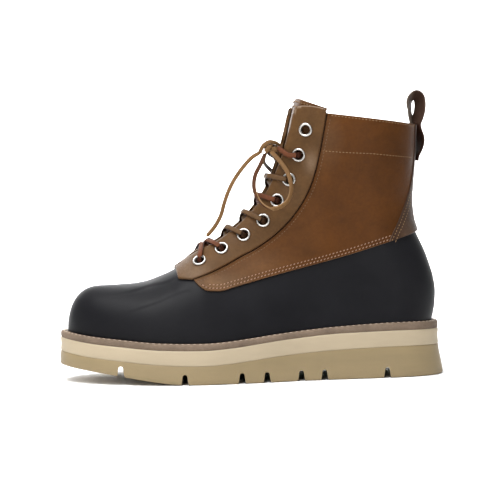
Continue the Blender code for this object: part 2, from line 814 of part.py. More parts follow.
def shaft_course(k):
    """Corners of one course of the shaft, each as (x, z, outer offset, inner offset)."""
    course = COURSES[k]
    points = course_points(k)
    edge = len(EDGE_PARTS) - 1
    laps = k < LAP_COURSES
    inn = GAP if laps else SHAFT_IN
    stay_in = STAY_LAP_IN if laps else SHAFT_IN
    groove_out = GROOVE_LAP_OUT if laps else GROOVE_OUT
    corners = [(x, z, BACKSTAY_OUT, inn) for x, z in points[:edge + 1]]
    x, z = points[edge]
    corners.append((x - STEP_WIDTH, z - BACKSTAY_STEP_DROP, QUARTER_OUT, inn))
    corners += [(x, z, QUARTER_OUT, inn) for x, z in points[edge + 1:-1]]
    groove = Vector((course.groove_x, course.groove_z))
    front = Vector((course.front_x, course.front_z))
    back = Vector(points[-2])
    if k == len(COURSES) - 1:
        raised = Vector(STAY_TOP_BACK)
        middles = [Vector(point) for point in STAY_TOP]
    else:
        raised = groove + (front - groove).normalized() * (GROOVE_WIDTH + STEP_WIDTH)
        middles = [raised.lerp(front, part) for part in STAY_PARTS]
    ahead = (front - groove).normalized()
    corners.append((*(groove + (back - groove).normalized() * STEP_WIDTH), QUARTER_OUT, inn))
    corners.append((*groove, groove_out, inn))
    corners.append((*(groove + ahead * GROOVE_WIDTH), groove_out, inn))
    corners.append((*raised, STAY_OUT, stay_in))
    corners += [(*point, STAY_OUT, stay_in) for point in middles]
    corners.append((*front, STAY_OUT, stay_in))
    return corners


def make_upper_shaft(parent):
    sheet = Sheet()
    for side in (-1, 1):
        rows = []
        for k in range(len(COURSES)):
            rows.append([sheet.corner(x, z, side, out, inn) for x, z, out, inn in shaft_course(k)])
        sheet.grid(rows)
    shaft = add_object("upper_shaft", sheet.wall("upper_shaft"), "brown_leather", parent)
    return shaft, BVHTree.FromPolygons(sheet.outer, sheet.faces)


TONGUE_LEVELS = table(
    "top_z spread out",
    (91.5, 0.82, -4.6),
    (97.0, 0.82, -4.4),
    (104.0, 0.83, -3.4),
    (113.0, 0.84, -2.9),
    (124.0, 0.85, -2.9),
    (136.0, 0.86, -2.9),
    (150.0, 0.86, -2.9),
    (166.0, 0.85, -2.9),
    (184.0, 0.83, -2.9),
    (203.0, 0.80, -2.9),
    (222.0, 0.77, -2.9),
)
TONGUE_PARTS = (0.0, 0.45, 0.8, 1.0)


def rib_of_height(top_z):
    """The rib whose top is at this height on the throat line."""
    rows = RIB_ROWS[122:]
    i = int(np.searchsorted(rows[:, 1], top_z)) - 1
    part = (top_z - rows[i, 1]) / (rows[i + 1, 1] - rows[i, 1])
    return mix(rows[i], rows[i + 1], part)


def make_tongue(parent):
    """A wall that runs under the stays and bows a little forward between them."""
    sheet = Sheet()
    rows = []
    for level in TONGUE_LEVELS:
        tx, tz, bx, bz = rib_of_height(level.top_z)[:4]
        half = []
        for part in TONGUE_PARTS:
            height = mix(level.spread, 0.995, part)
            half.append((mix(bx, tx, height), mix(bz, tz, height)))
        inn = level.out - TONGUE_WALL
        lateral = [sheet.corner(x, z, -1, level.out, inn) for x, z in half]
        medial = [sheet.corner(x, z, 1, level.out, inn) for x, z in half]
        rows.append(lateral + medial[::-1])
    sheet.grid(rows)
    return add_object("tongue", sheet.wall("tongue"), "tongue_leather", parent)


def make_pull_loop(parent):
    """A flat strap bent over the back of the collar, as an open strip made thick."""
    points = []
    for x, z in LOOP_PATH:
        points += [(x, -LOOP_WIDTH / 2, z), (x, LOOP_WIDTH / 2, z)]
    faces = [(2 * i, 2 * i + 1, 2 * i + 3, 2 * i + 2) for i in range(len(LOOP_PATH) - 1)]
    item = add_object("pull_loop", mesh_of("pull_loop", points, faces), "loop_leather", parent)
    solid = item.modifiers.new("thickness", "SOLIDIFY")
    solid.thickness = LOOP_THICKNESS * MM
    solid.offset = 0.0
    solid.use_even_offset = True
    return item


# Eyelets


def facing(point, towards):
    """A placement at a point in mm with Z along the given direction."""
    turn = Vector((0.0, 0.0, 1.0)).rotation_difference(towards)
    return Matrix.Translation(point * MM) @ turn.to_matrix().to_4x4()


def eyelet_place(row, side):
    """Seat and direction of an eyelet, where its rim lies on the stay's facets."""
    middle_point = skin(row.x, row.z, side, STAY_OUT)
    towards = (middle_point - skin(row.x, row.z, side, 0.0)).normalized()
    across = towards.cross(Vector((0.0, 0.0, 1.0))).normalized()
    along = towards.cross(across)
    height = -1.0
    for i in range(12):
        angle = 2 * math.pi * i / 12
        spot = middle_point + (across * math.cos(angle) + along * math.sin(angle)) * EYELET_RIM
        hit = SHAFT_SURFACE.ray_cast(spot + towards * 6.0, -towards)[0]
        if hit is not None:
            height = max(height, (hit - middle_point).dot(towards))
    return middle_point + towards * height, towards


def eyelet_mesh():
    """A rolled rim and a short barrel, turned around Z."""
    profile = [
        (EYELET_BORE, -EYELET_DEPTH), (BARREL_RADIUS, -EYELET_DEPTH), (BARREL_RADIUS, GAP),
        (EYELET_RIM, GAP), (EYELET_RIM - 1.1, EYELET_HEIGHT), (EYELET_BORE, 0.8),
    ]
    steps = 9
    points = []
    faces = []
    for i in range(steps):
        angle = 2 * math.pi * i / steps
        points += [(r * math.cos(angle), r * math.sin(angle), z) for r, z in profile]
    size = len(profile)
    for i in range(steps):
        for k in range(size):
            a, b = i * size, (i + 1) % steps * size
            after = (k + 1) % size
            faces.append((a + k, a + after, b + after, b + k))
    return mesh_of("eyelet", points, faces)


def make_eyelets(parent, shaft):
    mesh = eyelet_mesh()
    for side, word in ((-1, "lateral"), (1, "medial")):
        for i, row in enumerate(EYELETS, 1):
            seat, towards = eyelet_place(row, side)
            item = add_object(f"eyelet_{word}_{i}", mesh.copy(), "nickel", parent)
            item.matrix_local = facing(seat, towards)
            cutter = hole_cutter(f"hole_cutter_{word}_{i}")
            cutter.matrix_local = facing(seat, towards)
            cut(shaft, cutter)


def hole_cutter(name):
    bm = bmesh.new()
    bmesh.ops.create_cone(
        bm, cap_ends=True, segments=8, radius1=EYELET_HOLE * MM, radius2=EYELET_HOLE * MM,
        depth=12.0 * MM, matrix=Matrix.Translation((0.0, 0.0, -1.0 * MM)),
    )
    mesh = bpy.data.meshes.new(name)
    bm.to_mesh(mesh)
    bm.free()
    return add_cutter(name, mesh)


def add_cutter(name, mesh):
    item = bpy.data.objects.new(name, mesh)
    item.hide_render = True
    item.display_type = "WIRE"
    CUTTERS.objects.link(item)
    return item


def cut(item, cutter):
    step = item.modifiers.new(cutter.name, "BOOLEAN")
    step.operation = "DIFFERENCE"
    step.solver = "EXACT"
    step.object = cutter


# Laces


def curve_points(route, spacing):
    """Points along a smooth curve through a route, about the given distance apart."""
    route = [Vector(point) for point in route]
    ends = [route[0] * 2 - route[1]] + route + [route[-1] * 2 - route[-2]]
    points = [route[0]]
    for a, b, c, d in zip(ends, ends[1:], ends[2:], ends[3:]):
        count = max(1, round((c - b).length / spacing))
        for i in range(1, count + 1):
            t = i / count
            points.append(0.5 * (
                2 * b + (c - a) * t + (2 * a - 5 * b + 4 * c - d) * t**2
                + (3 * b - a - 3 * c + d) * t**3
            ))
    return points


def tube(name, points, radius, resolution):
    """A round cord along points in mm, with closed ends."""
    curve = bpy.data.curves.new(name, "CURVE")
    curve.dimensions = "3D"
    curve.bevel_depth = radius * MM
    curve.bevel_resolution = resolution
    curve.use_fill_caps = True
    spline = curve.splines.new("POLY")
    spline.points.add(len(points) - 1)
    for target, point in zip(spline.points, points):
        target.co = (*(Vector(point) * MM), 1.0)
    return curve


def curve_mesh(name, curve):
    """The curve's surface as a closed mesh."""
    item = bpy.data.objects.new(name, curve)
    bpy.context.scene.collection.objects.link(item)
    graph = bpy.context.evaluated_depsgraph_get()
    mesh = bpy.data.meshes.new_from_object(item.evaluated_get(graph))
    bpy.data.objects.remove(item)
    bm = bmesh.new()
    bm.from_mesh(mesh)
    bmesh.ops.remove_doubles(bm, verts=bm.verts, dist=1e-6)
    bmesh.ops.recalc_face_normals(bm, faces=bm.faces)
    bm.to_mesh(mesh)
    bm.free()
    smooth(mesh)
    return mesh


def throat(level):
    """Place, half gap and forward direction of the throat at a level, 1 at the lowest eyelet."""
    tops = [rib_at(row.x, row.z) for row in EYELETS]
    i = min(int(level), len(EYELETS) - 1) - 1
    low, high = tops[i], tops[i + 1]
    part = level - 1 - i
    along = Vector((high[0] - low[0], 0.0, high[1] - low[1])).normalized()
    place = Vector((mix(low[0], high[0], part), 0.0, mix(low[1], high[1], part)))
    return place, mix(low[4], high[4], part), Vector((-along.z, 0.0, along.x))


def strand(level, side, climb):
    """A strand from above an eyelet over the stay's edge and the tongue to the other stay.

    It climbs along the throat where climb is 1, and sinks where it is -1."""
    row = EYELETS[level - 1]
    seat, towards = eyelet_place(row, side)
    route = [seat + towards * (LACE_RADIUS + 2.5)]
    edge = throat(level + climb * EDGE_RISE)[0]
    route.append(skin(mix(row.x, edge.x, 0.55), mix(row.z, edge.z, 0.55), side, STAY_OUT + 3.8))
    for rise, across, out in STRAND_ROUTE:
        place, gap, forward = throat(level + climb * rise)
        raised = out + (MEDIAL_LIFT if side > 0 else 0.0)
        route.append(place + forward * raised + Vector((0.0, side * (gap + 1.0) * across, 0.0)))
    return route


def make_lace_bars(parent):
    """Five crossings, whose strands are joined where they cross, and the bar under the knot.

    The strands of the two lowest pairs of eyelets meet in the first crossing."""
    strands = {1: [(1, -1, 1), (1, 1, 1), (2, -1, -1), (2, 1, -1)]}
    for level in range(3, 7):
        strands[level - 1] = [(level, -1, -1), (level, 1, -1)]
    for number, group in strands.items():
        name = f"lace_cross_{number}"
        item = None
        for level, side, climb in group:
            curve = tube(name, curve_points(strand(level, side, climb), 7.0), LACE_RADIUS, 1)
            mesh = curve_mesh(name, curve)
            if item is None:
                item = add_object(name, mesh, "lace_rawhide", parent)
            else:
                tool = add_cutter(f"{name}_strand_{level}_{side}", mesh)
                step = item.modifiers.new(tool.name, "BOOLEAN")
                step.operation = "UNION"
                step.solver = "EXACT"
                step.object = tool
    place, gap, forward = throat(7.0 + BAR_RISE)
    route = [place + forward * 2.4]
    for side in (-1, 1):
        edge = place + forward * 5.4 + Vector((0.0, side * (gap + 1.0) * 0.94, 0.0))
        half = strand(7, side, -1)[:2] + [edge]
        route = half + route if side < 0 else route + half[::-1]
    mesh = curve_mesh("lace_bar_top", tube("lace_bar_top", curve_points(route, 7.0), LACE_RADIUS, 1))
    add_object("lace_bar_top", mesh, "lace_rawhide", parent)


def knot_exit(towards):
    """Where a cord that comes from the given point meets the knot."""
    place = Vector(KNOT_PLACE)
    away = Vector(towards) - place
    reach = math.sqrt(sum((a / size) ** 2 for a, size in zip(away, KNOT_SIZE)))
    return place + away / reach + away.normalized() * (GAP + 0.2)


def make_bow(parent):
    bm = bmesh.new()
    bmesh.ops.create_uvsphere(bm, u_segments=12, v_segments=8, radius=MM)
    bmesh.ops.scale(bm, vec=KNOT_SIZE, verts=bm.verts)
    mesh = bpy.data.meshes.new("lace_knot")
    bm.to_mesh(mesh)
    bm.free()
    smooth(mesh, 60)
    knot = add_object("lace_knot", mesh, "lace_rawhide", parent)
    knot.location = Vector(KNOT_PLACE) * MM
    for name, route in CORD_ROUTES.items():
        route = [knot_exit(route[0])] + list(route)
        if "loop" in name:
            route.append(knot_exit(route[-1]))
        curve = tube(name, curve_points(route, 8.0), CORD_RADIUS, 2)
        add_object(name, curve, "lace_rawhide", parent)


for old in list(bpy.data.objects):
    bpy.data.objects.remove(old, do_unlink=True)

PARTS = collection("duck_boot")
CUTTERS = collection("cutters")

boot = bpy.data.objects.new("boot", None)
PARTS.objects.link(boot)

make_outsole(boot)
make_midsole(boot)
make_welt(boot)
make_insole(boot)
make_upper_shell(boot)
upper_shaft, SHAFT_SURFACE = make_upper_shaft(boot)
make_tongue(boot)
make_pull_loop(boot)
make_eyelets(boot, upper_shaft)
make_lace_bars(boot)
make_bow(boot)
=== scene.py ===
import math

import bmesh
import bpy
import numpy as np
from mathutils import Matrix, Vector


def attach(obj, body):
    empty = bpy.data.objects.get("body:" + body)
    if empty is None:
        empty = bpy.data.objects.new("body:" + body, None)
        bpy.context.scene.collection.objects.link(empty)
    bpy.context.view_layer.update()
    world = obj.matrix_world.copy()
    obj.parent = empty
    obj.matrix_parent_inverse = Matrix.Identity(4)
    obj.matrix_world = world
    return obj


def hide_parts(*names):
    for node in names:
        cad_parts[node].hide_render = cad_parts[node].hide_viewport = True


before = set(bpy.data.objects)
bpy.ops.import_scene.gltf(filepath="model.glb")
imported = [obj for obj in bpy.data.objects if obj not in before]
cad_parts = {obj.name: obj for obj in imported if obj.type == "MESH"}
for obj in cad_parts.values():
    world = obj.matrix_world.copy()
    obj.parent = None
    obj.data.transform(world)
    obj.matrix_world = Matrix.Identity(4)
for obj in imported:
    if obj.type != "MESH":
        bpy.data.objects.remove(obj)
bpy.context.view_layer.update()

# A left duck boot: its toe points to -X, its lateral side is -Y, and the floor is Z = 0.
# Tables and named sizes are in millimetres, and the meshes are made in metres.

MM = 0.001
GAP = 0.3
SIDES = ((-1, "lateral"), (1, "medial"))

# Camera, as the photo sees the boot
CAMERA_TURN = 5.0
CAMERA_DISTANCE = 1600.0
CAMERA_HEIGHT = 185.0
CAMERA_AIM_X = -1.03
CAMERA_FOCAL_PIXELS = 1984.1
CAMERA_ROLL = -0.840
CAMERA_PITCH = 2.969
PHOTO_PIXELS = 500.0

# The upper's base surface and the sole's layers
SOLE_TOE = -155.0
SOLE_HEEL = 155.0
MIDSOLE_HEEL = 151.4
TOE_POWER = 5.5
HEEL_POWER = 8.0
TOE_X = -148.6
TOE_CAP_END = -119.0
TOE_CAP_BASE = 40.0
TOE_CAP_RISE = 35.9
VAMP_END = -60.0
VAMP_POWER = 2.6
SEAM_REACH = 0.0004
WIDTHS = np.array((
    # x, lateral, medial, inset
    (-155.0, 37.0, 48.0, 6.6),
    (-130.0, 42.0, 51.5, 6.8),
    (-108.0, 47.5, 54.0, 7.0),
    (-80.0, 54.0, 57.4, 7.0),
    (-45.0, 57.0, 54.0, 7.0),
    (0.0, 52.0, 43.5, 6.4),
    (40.0, 43.5, 36.5, 6.0),
    (90.0, 39.5, 37.5, 5.2),
    (125.0, 38.0, 37.5, 5.0),
    (155.0, 37.0, 37.0, 5.0),
))
LAYERS = np.array((
    # x, welt top, welt base, outsole top
    (-155.0, 40.5, 35.5, 24.5),
    (-132.0, 37.2, 32.2, 21.2),
    (-108.0, 35.0, 30.0, 18.8),
    (-75.0, 32.3, 27.4, 15.8),
    (-45.0, 31.7, 26.8, 14.7),
    (25.0, 38.2, 33.4, 21.0),
    (66.0, 41.6, 36.6, 23.6),
    (117.0, 43.6, 37.6, 24.8),
    (155.0, 42.8, 36.9, 24.1),
))
GROUND = np.array((
    (-155.0, 13.3), (-132.0, 10.2), (-108.0, 6.6), (-85.0, 3.0), (-66.0, 0.6), (-55.0, 0.0), (155.0, 0.0),
))
CREST = np.array((
    (-119.0, 75.9), (-107.0, 76.3), (-95.0, 76.8), (-85.0, 78.4), (-75.0, 82.0), (-66.0, 85.8), (-60.0, 89.2),
))
RIBS = np.array((
    # top x, top z, foot x, foot z, power, taper, gap
    (-60.0, 89.2, -60.0, 31.9, 2.6, 0.00, 0.0),
    (-52.0, 94.5, -50.0, 31.8, 2.5, 0.03, 0.0),
    (-44.5, 100.0, -36.0, 32.3, 2.4, 0.10, 7.0),
    (-30.6, 106.9, -8.0, 34.8, 2.3, 0.22, 9.0),
    (-15.0, 117.5, 24.0, 38.2, 2.4, 0.35, 10.0),
    (1.0, 132.0, 66.0, 41.7, 2.9, 0.48, 11.5),
    (10.4, 144.3, 105.0, 43.5, 3.8, 0.55, 13.0),
    (15.4, 152.3, 138.0, 43.5, 5.0, 0.60, 14.0),
    (20.8, 164.5, 149.3, 70.0, 6.5, 0.64, 15.5),
    (25.4, 177.3, 137.2, 107.0, 7.5, 0.66, 17.0),
    (29.4, 189.0, 128.8, 142.0, 8.0, 0.66, 18.5),
    (32.8, 203.0, 131.0, 168.0, 8.0, 0.66, 20.0),
    (36.0, 213.0, 132.4, 186.0, 8.0, 0.66, 21.0),
    (39.0, 225.0, 133.0, 204.0, 8.0, 0.66, 22.0),
    (42.0, 238.0, 133.6, 218.0, 8.0, 0.66, 23.0),
))
BACK = np.array((
    # z, x, radius
    (38.0, 145.2, 36.0), (44.0, 146.4, 36.0), (50.0, 147.8, 36.0), (58.0, 149.0, 36.0),
    (66.5, 149.4, 36.0), (78.0, 147.9, 36.0), (88.0, 145.0, 36.5), (98.0, 141.5, 37.0),
    (107.5, 137.2, 37.0), (117.0, 132.9, 38.0), (127.0, 130.2, 39.0), (142.0, 128.8, 40.0),
    (151.5, 129.6, 41.0), (161.0, 130.5, 42.0), (171.0, 131.4, 43.0), (185.0, 132.3, 45.0),
    (202.0, 133.0, 47.0), (240.0, 134.0, 48.0),
))
LEG = np.array((
    (40.0, 34.0), (75.0, 34.5), (100.0, 36.0), (141.0, 38.0), (170.0, 41.0), (200.0, 44.0), (240.0, 45.0),
))
LOW_EDGE = np.array((
    (-48.8, 80.7), (-44.5, 75.8), (-38.6, 72.4), (-28.5, 71.9), (-18.4, 74.2),
    (10.4, 81.6), (47.3, 90.8), (75.7, 98.3), (107.0, 107.9),
))
COURSES = np.array((
    # back z, backstay edge x and z, groove x and z, front x and z
    (115.5, 107.0, 107.9, -48.8, 80.7, -60.1, 80.9),
    (119.5, 108.6, 111.8, -43.0, 82.6, -61.0, 87.4),
    (124.0, 110.8, 116.6, -36.5, 84.9, -56.2, 91.6),
    (130.5, 114.0, 123.2, -23.0, 90.8, -44.5, 100.0),
    (137.5, 117.6, 131.6, -10.5, 97.4, -29.5, 107.6),
    (144.5, 120.8, 139.6, 2.0, 103.6, -15.0, 117.5),
    (151.5, 123.6, 147.2, 15.5, 112.8, -3.0, 128.2),
    (159.0, 125.8, 154.6, 28.6, 124.8, 7.2, 140.0),
    (167.0, 127.6, 163.0, 39.4, 139.2, 14.8, 151.3),
    (176.0, 128.9, 172.0, 47.4, 155.6, 21.4, 166.2),
    (185.0, 129.6, 182.0, 52.4, 173.6, 26.8, 181.3),
    (193.5, 129.9, 192.0, 56.0, 191.6, 31.0, 195.6),
    (201.5, 130.2, 201.6, 59.7, 211.0, 36.8, 212.6),
))
LAST_COURSE = len(COURSES) - 1
STAY_TOP = np.array((
    (58.8, 211.4), (57.2, 214.3), (52.4, 216.0), (46.4, 216.9),
    (41.2, 217.1), (37.7, 216.5), (35.4, 215.0), (34.2, 212.6),
))
TONGUE_LEVELS = np.array((
    # height on the throat line, spread, offset
    (91.5, 0.82, -4.6), (97.0, 0.82, -4.4), (104.0, 0.83, -3.4), (113.0, 0.84, -2.9),
    (136.0, 0.86, -2.9), (166.0, 0.85, -2.9), (203.0, 0.80, -2.9), (222.0, 0.77, -2.9),
))
QUARTER_OUT = 1.7
BACKSTAY_OUT = 2.6
STAY_OUT = 2.8
SHELL_WALL = 2.4
TONGUE_WALL = 1.7
STAY_GAP = 0.8

LOW_STEP = np.array((
    (-119.0, 56.5), (-100.8, 57.0), (-90.0, 60.2), (-78.0, 64.0), (-67.2, 68.6), (-55.1, 72.6), (-49.1, 73.1),
))
HIGH_STEP = np.array((
    (-119.0, 67.7), (-94.3, 72.7), (-82.2, 76.1), (-70.2, 78.8), (-62.3, 82.3), (-54.0, 86.0),
))
STEP_ENDS = (((-108.0, -86.0), (-56.0, -50.0)), ((-122.0, -98.0), (-66.0, -61.0)))

EYELETS = (
    (-42.9, 94.0), (-25.1, 103.4), (-7.2, 114.3), (8.7, 125.9),
    (20.1, 141.9), (29.6, 158.9), (37.3, 178.3), (42.8, 198.0),
)
LOOP_PATH = (
    (129.7, 188.0), (130.1, 202.0), (129.2, 208.5), (129.2, 214.5), (130.4, 220.5),
    (133.6, 224.8), (137.8, 226.0), (140.8, 223.6), (141.8, 218.6), (141.2, 212.6),
    (139.4, 206.8), (137.6, 201.8), (138.4, 196.8), (140.3, 191.6), (140.4, 186.6),
    (138.6, 181.0), (136.3, 176.4), (135.4, 172.0),
)

KNOT_PLACE = (14.0, -4.5, 184.4)
KNOT_SIZE = (7.6, 7.0, 5.6)
CORD_ROUTES = {
    "lace_loop_lateral": (
        (21.5, -22.0, 174.0), (27.3, -30.0, 164.0), (29.6, -34.0, 153.0), (27.8, -35.5, 144.5),
        (23.5, -36.0, 139.5), (16.5, -35.0, 136.3), (10.5, -32.5, 137.2), (5.0, -29.0, 141.6),
        (1.6, -25.0, 148.6), (1.0, -21.0, 155.6), (2.8, -17.0, 163.2), (7.3, -12.5, 171.0),
    ),
    "lace_end_lateral": (
        (0.5, -8.0, 176.3), (-7.0, -9.5, 168.4), (-13.9, -10.5, 158.9), (-18.9, -11.0, 149.3),
        (-22.3, -11.0, 139.8), (-25.2, -10.5, 130.2), (-30.3, -10.0, 121.4), (-36.6, -9.5, 114.2),
    ),
    "lace_loop_medial": (
        (17.0, 9.0, 179.0), (19.8, 20.0, 178.0), (25.5, 30.5, 174.5), (33.5, 34.5, 168.5),
        (38.5, 35.5, 159.0), (38.0, 35.0, 149.0), (33.0, 34.5, 141.5), (27.0, 34.5, 140.0),
        (23.5, 34.5, 146.5), (23.5, 35.5, 156.0), (20.8, 32.5, 164.5), (15.2, 21.5, 169.5),
        (12.5, 10.5, 173.5),
    ),
    "lace_end_medial": (
        (15.0, 10.5, 187.0), (18.0, 23.5, 184.0), (24.0, 35.5, 175.5), (27.0, 39.5, 166.0),
        (26.0, 40.5, 155.0), (22.0, 39.0, 143.5), (15.5, 35.0, 131.5), (6.0, 31.0, 120.5),
    ),
}
LACE_WIDTH = 3.5
LACE_THICKNESS = 1.9
BAR_WIDTH = 4.2


def mix(a, b, t):
    return a + (b - a) * t


def ease(t):
    """A smooth step from 0 to 1."""
    t = np.clip(t, 0.0, 1.0)
    return t * t * (3.0 - 2.0 * t)


def unit(v):
    return v / np.maximum(np.linalg.norm(v, axis=-1, keepdims=True), 1e-12)


def floats(*values):
    """Arrays of one shape from numbers or arrays."""
    return np.broadcast_arrays(*(np.asarray(value, dtype=float) for value in values))


def numbered(rows):
    """A table with the numbers of its rows as its first column."""
    return np.hstack([np.arange(len(rows))[:, None], rows])


def between_rows(places, keys, rows):
    """Rows at places between the rows of the given keys, on straight lines."""
    return np.stack([np.interp(places, keys, column) for column in zip(*rows)], axis=-1)


def spread_over(count, rows):
    """A number of rows, evenly spread from the first of the given rows to the last."""
    return between_rows(np.linspace(0, 1, count), np.linspace(0, 1, len(rows)), rows)


def curve_at(rows, x):
    """Rows of a table at places x, on smooth curves that never overshoot the rows."""
    keys = rows[:, 0]
    x = np.clip(np.asarray(x, dtype=float), keys[0], keys[-1])
    steps = np.diff(keys)[:, None]
    secants = np.diff(rows, axis=0) / steps
    slopes = np.empty_like(rows)
    slopes[0], slopes[-1] = secants[0], secants[-1]
    before, after = secants[:-1], secants[1:]
    same = before * after > 0
    w1 = 2 * steps[1:] + steps[:-1]
    w2 = steps[1:] + 2 * steps[:-1]
    below = w1 / np.where(same, before, 1.0) + w2 / np.where(same, after, 1.0)
    slopes[1:-1] = np.where(same, (w1 + w2) / below, 0.0)
    i = np.clip(np.searchsorted(keys, x, side="right") - 1, 0, len(rows) - 2)
    t = ((x - keys[i]) / steps[i, 0])[..., None]
    width = steps[i]
    return (
        (2 * t**3 - 3 * t**2 + 1) * rows[i]
        + (t**3 - 2 * t**2 + t) * width * slopes[i]
        + (3 * t**2 - 2 * t**3) * rows[i + 1]
        + (t**3 - t**2) * width * slopes[i + 1]
    )


def end_round(x, toe, heel):
    """How the sole's width falls off towards its ends."""
    t = (2.0 * x - toe - heel) / (heel - toe)
    power = np.where(t < 0, TOE_POWER, HEEL_POWER)
    return np.sqrt(np.maximum(0.0, 1.0 - np.abs(t) ** power))


def crest(x):
    x = np.asarray(x, dtype=float)
    q = np.clip((TOE_CAP_END - x) / (TOE_CAP_END - TOE_X), 0.0, 1.0)
    cap = TOE_CAP_BASE + TOE_CAP_RISE * (1.0 - q**2.6) ** (1 / 2.2)
    return np.where(x >= TOE_CAP_END, curve_at(CREST, x)[..., 1], cap)


def feather(x):
    return curve_at(LAYERS, x)[..., 1] + GAP


def rib_rows():
    """Closely spaced ribs: upright ones over the toe and vamp, then those of the table."""
    part = (np.arange(121) / 121) ** 1.5
    x = mix(TOE_X, RIBS[0, 0], part)
    flat = np.zeros_like(x)
    front = np.stack([x, crest(x), x, feather(x), flat + VAMP_POWER, flat, flat], axis=1)
    places = np.arange(261) * (len(RIBS) - 1) / 260
    return np.vstack([front, curve_at(numbered(RIBS), places)[:, 1:]])


RIB_ROWS = rib_rows()
COURSE_ROWS = numbered(COURSES)


def leg_part(x, z):
    return ease((x + 70.0) / 90.0) * ease((z - 45.0) / 70.0)


def middle(x, z):
    row = curve_at(WIDTHS, x)
    return (row[..., 2] - row[..., 1]) / 2.0 * (1.0 - leg_part(x, z))


def half_width_of(x, z):
    """Half the upper's width, from the ribs that stand before and behind each point."""
    row = curve_at(WIDTHS, x)
    foot = (row[:, 2] + row[:, 1]) / 2.0 - row[:, 3]
    foot = foot * np.where(x < 0, end_round(x, TOE_X, -TOE_X), 1.0)
    wide = mix(foot, curve_at(LEG, z)[:, 1], leg_part(x, z))
    tx, tz, bx, bz = RIB_ROWS[:, :4].T
    side = (x[:, None] - bx) * (tz - bz) - (z[:, None] - bz) * (tx - bx)
    ahead = side > 0
    last = len(tx) - 1 - np.argmax(ahead[:, ::-1], axis=1)
    i = np.where(ahead.any(axis=1), np.minimum(last, len(tx) - 2), 0)
    rows = np.arange(len(x))
    span = side[rows, i] - side[rows, i + 1]
    part = np.where(np.abs(span) < 1e-9, 0.0, side[rows, i] / np.where(span == 0, 1.0, span))
    rib = mix(RIB_ROWS[i], RIB_ROWS[i + 1], np.clip(part, 0.0, 1.0)[:, None])
    tx, tz, bx, bz, power, taper, gap = rib.T
    length = np.maximum((tx - bx) ** 2 + (tz - bz) ** 2, 1e-9)
    height = np.clip(((x - bx) * (tx - bx) + (z - bz) * (tz - bz)) / length, 0.0, 1.0)
    back = curve_at(BACK, z)
    depth = np.clip((back[:, 1] - x) / back[:, 2], 0.0, 1.0)
    heel = np.sqrt(1.0 - (1.0 - depth) ** 2)
    height = np.where(height > 1.0 - SEAM_REACH, 1.0, height)
    top = np.sqrt(np.maximum(0.0, 1.0 - height**power)) * (1.0 - taper * height)
    return heel * (gap + (wide - gap) * top)


def half_width(x, z):
    """Half the upper's width at points of the side view."""
    x, z = floats(x, z)
    shape = x.shape
    x, z = x.ravel(), z.ravel()
    parts = [half_width_of(x[i:i + 4000], z[i:i + 4000]) for i in range(0, len(x), 4000)]
    return np.concatenate(parts).reshape(shape)


def base_points(x, z, side):
    x, z = floats(x, z)
    return np.stack([x, middle(x, z) + side * half_width(x, z), z], axis=-1)


def skin(x, z, side, out=0.0):
    """Points of the upper away from its seams, moved out along their normals, and the normals."""
    x, z = floats(x, z)
    step = 0.4
    slope_x = (half_width(x + step, z) - half_width(x - step, z)) / (2 * step)
    slope_z = (half_width(x, z + step) - half_width(x, z - step)) / (2 * step)
    normal = unit(np.stack([-slope_x, np.full_like(x, side), -slope_z], axis=-1))
    return base_points(x, z, side) + normal * np.asarray(out)[..., None], normal


def course_xz(k, part):
    """Side view of the quarter: part runs from -1 at the back seam over 0 to 1 at the groove."""
    k, part = floats(k, part)
    row = curve_at(COURSE_ROWS, k)
    back_z, edge_x, edge_z, groove_x, groove_z = (row[..., i] for i in range(1, 6))
    seam_x = curve_at(BACK, back_z)[..., 1]
    behind = np.clip(-part, 0.0, 1.0)
    ahead = np.clip(part, 0.0, 1.0)
    low_x = mix(COURSES[0, 1], COURSES[0, 3], ahead)
    sag = curve_at(LOW_EDGE, low_x)[..., 1] - mix(COURSES[0, 2], COURSES[0, 4], ahead)
    bend = (1.0 - k / LAST_COURSE) ** 2
    x = np.where(part < 0, mix(edge_x, seam_x, behind), mix(edge_x, groove_x, ahead))
    z = np.where(part < 0, mix(edge_z, back_z, behind), mix(edge_z, groove_z, ahead) + sag * bend)
    return x, z


# Materials


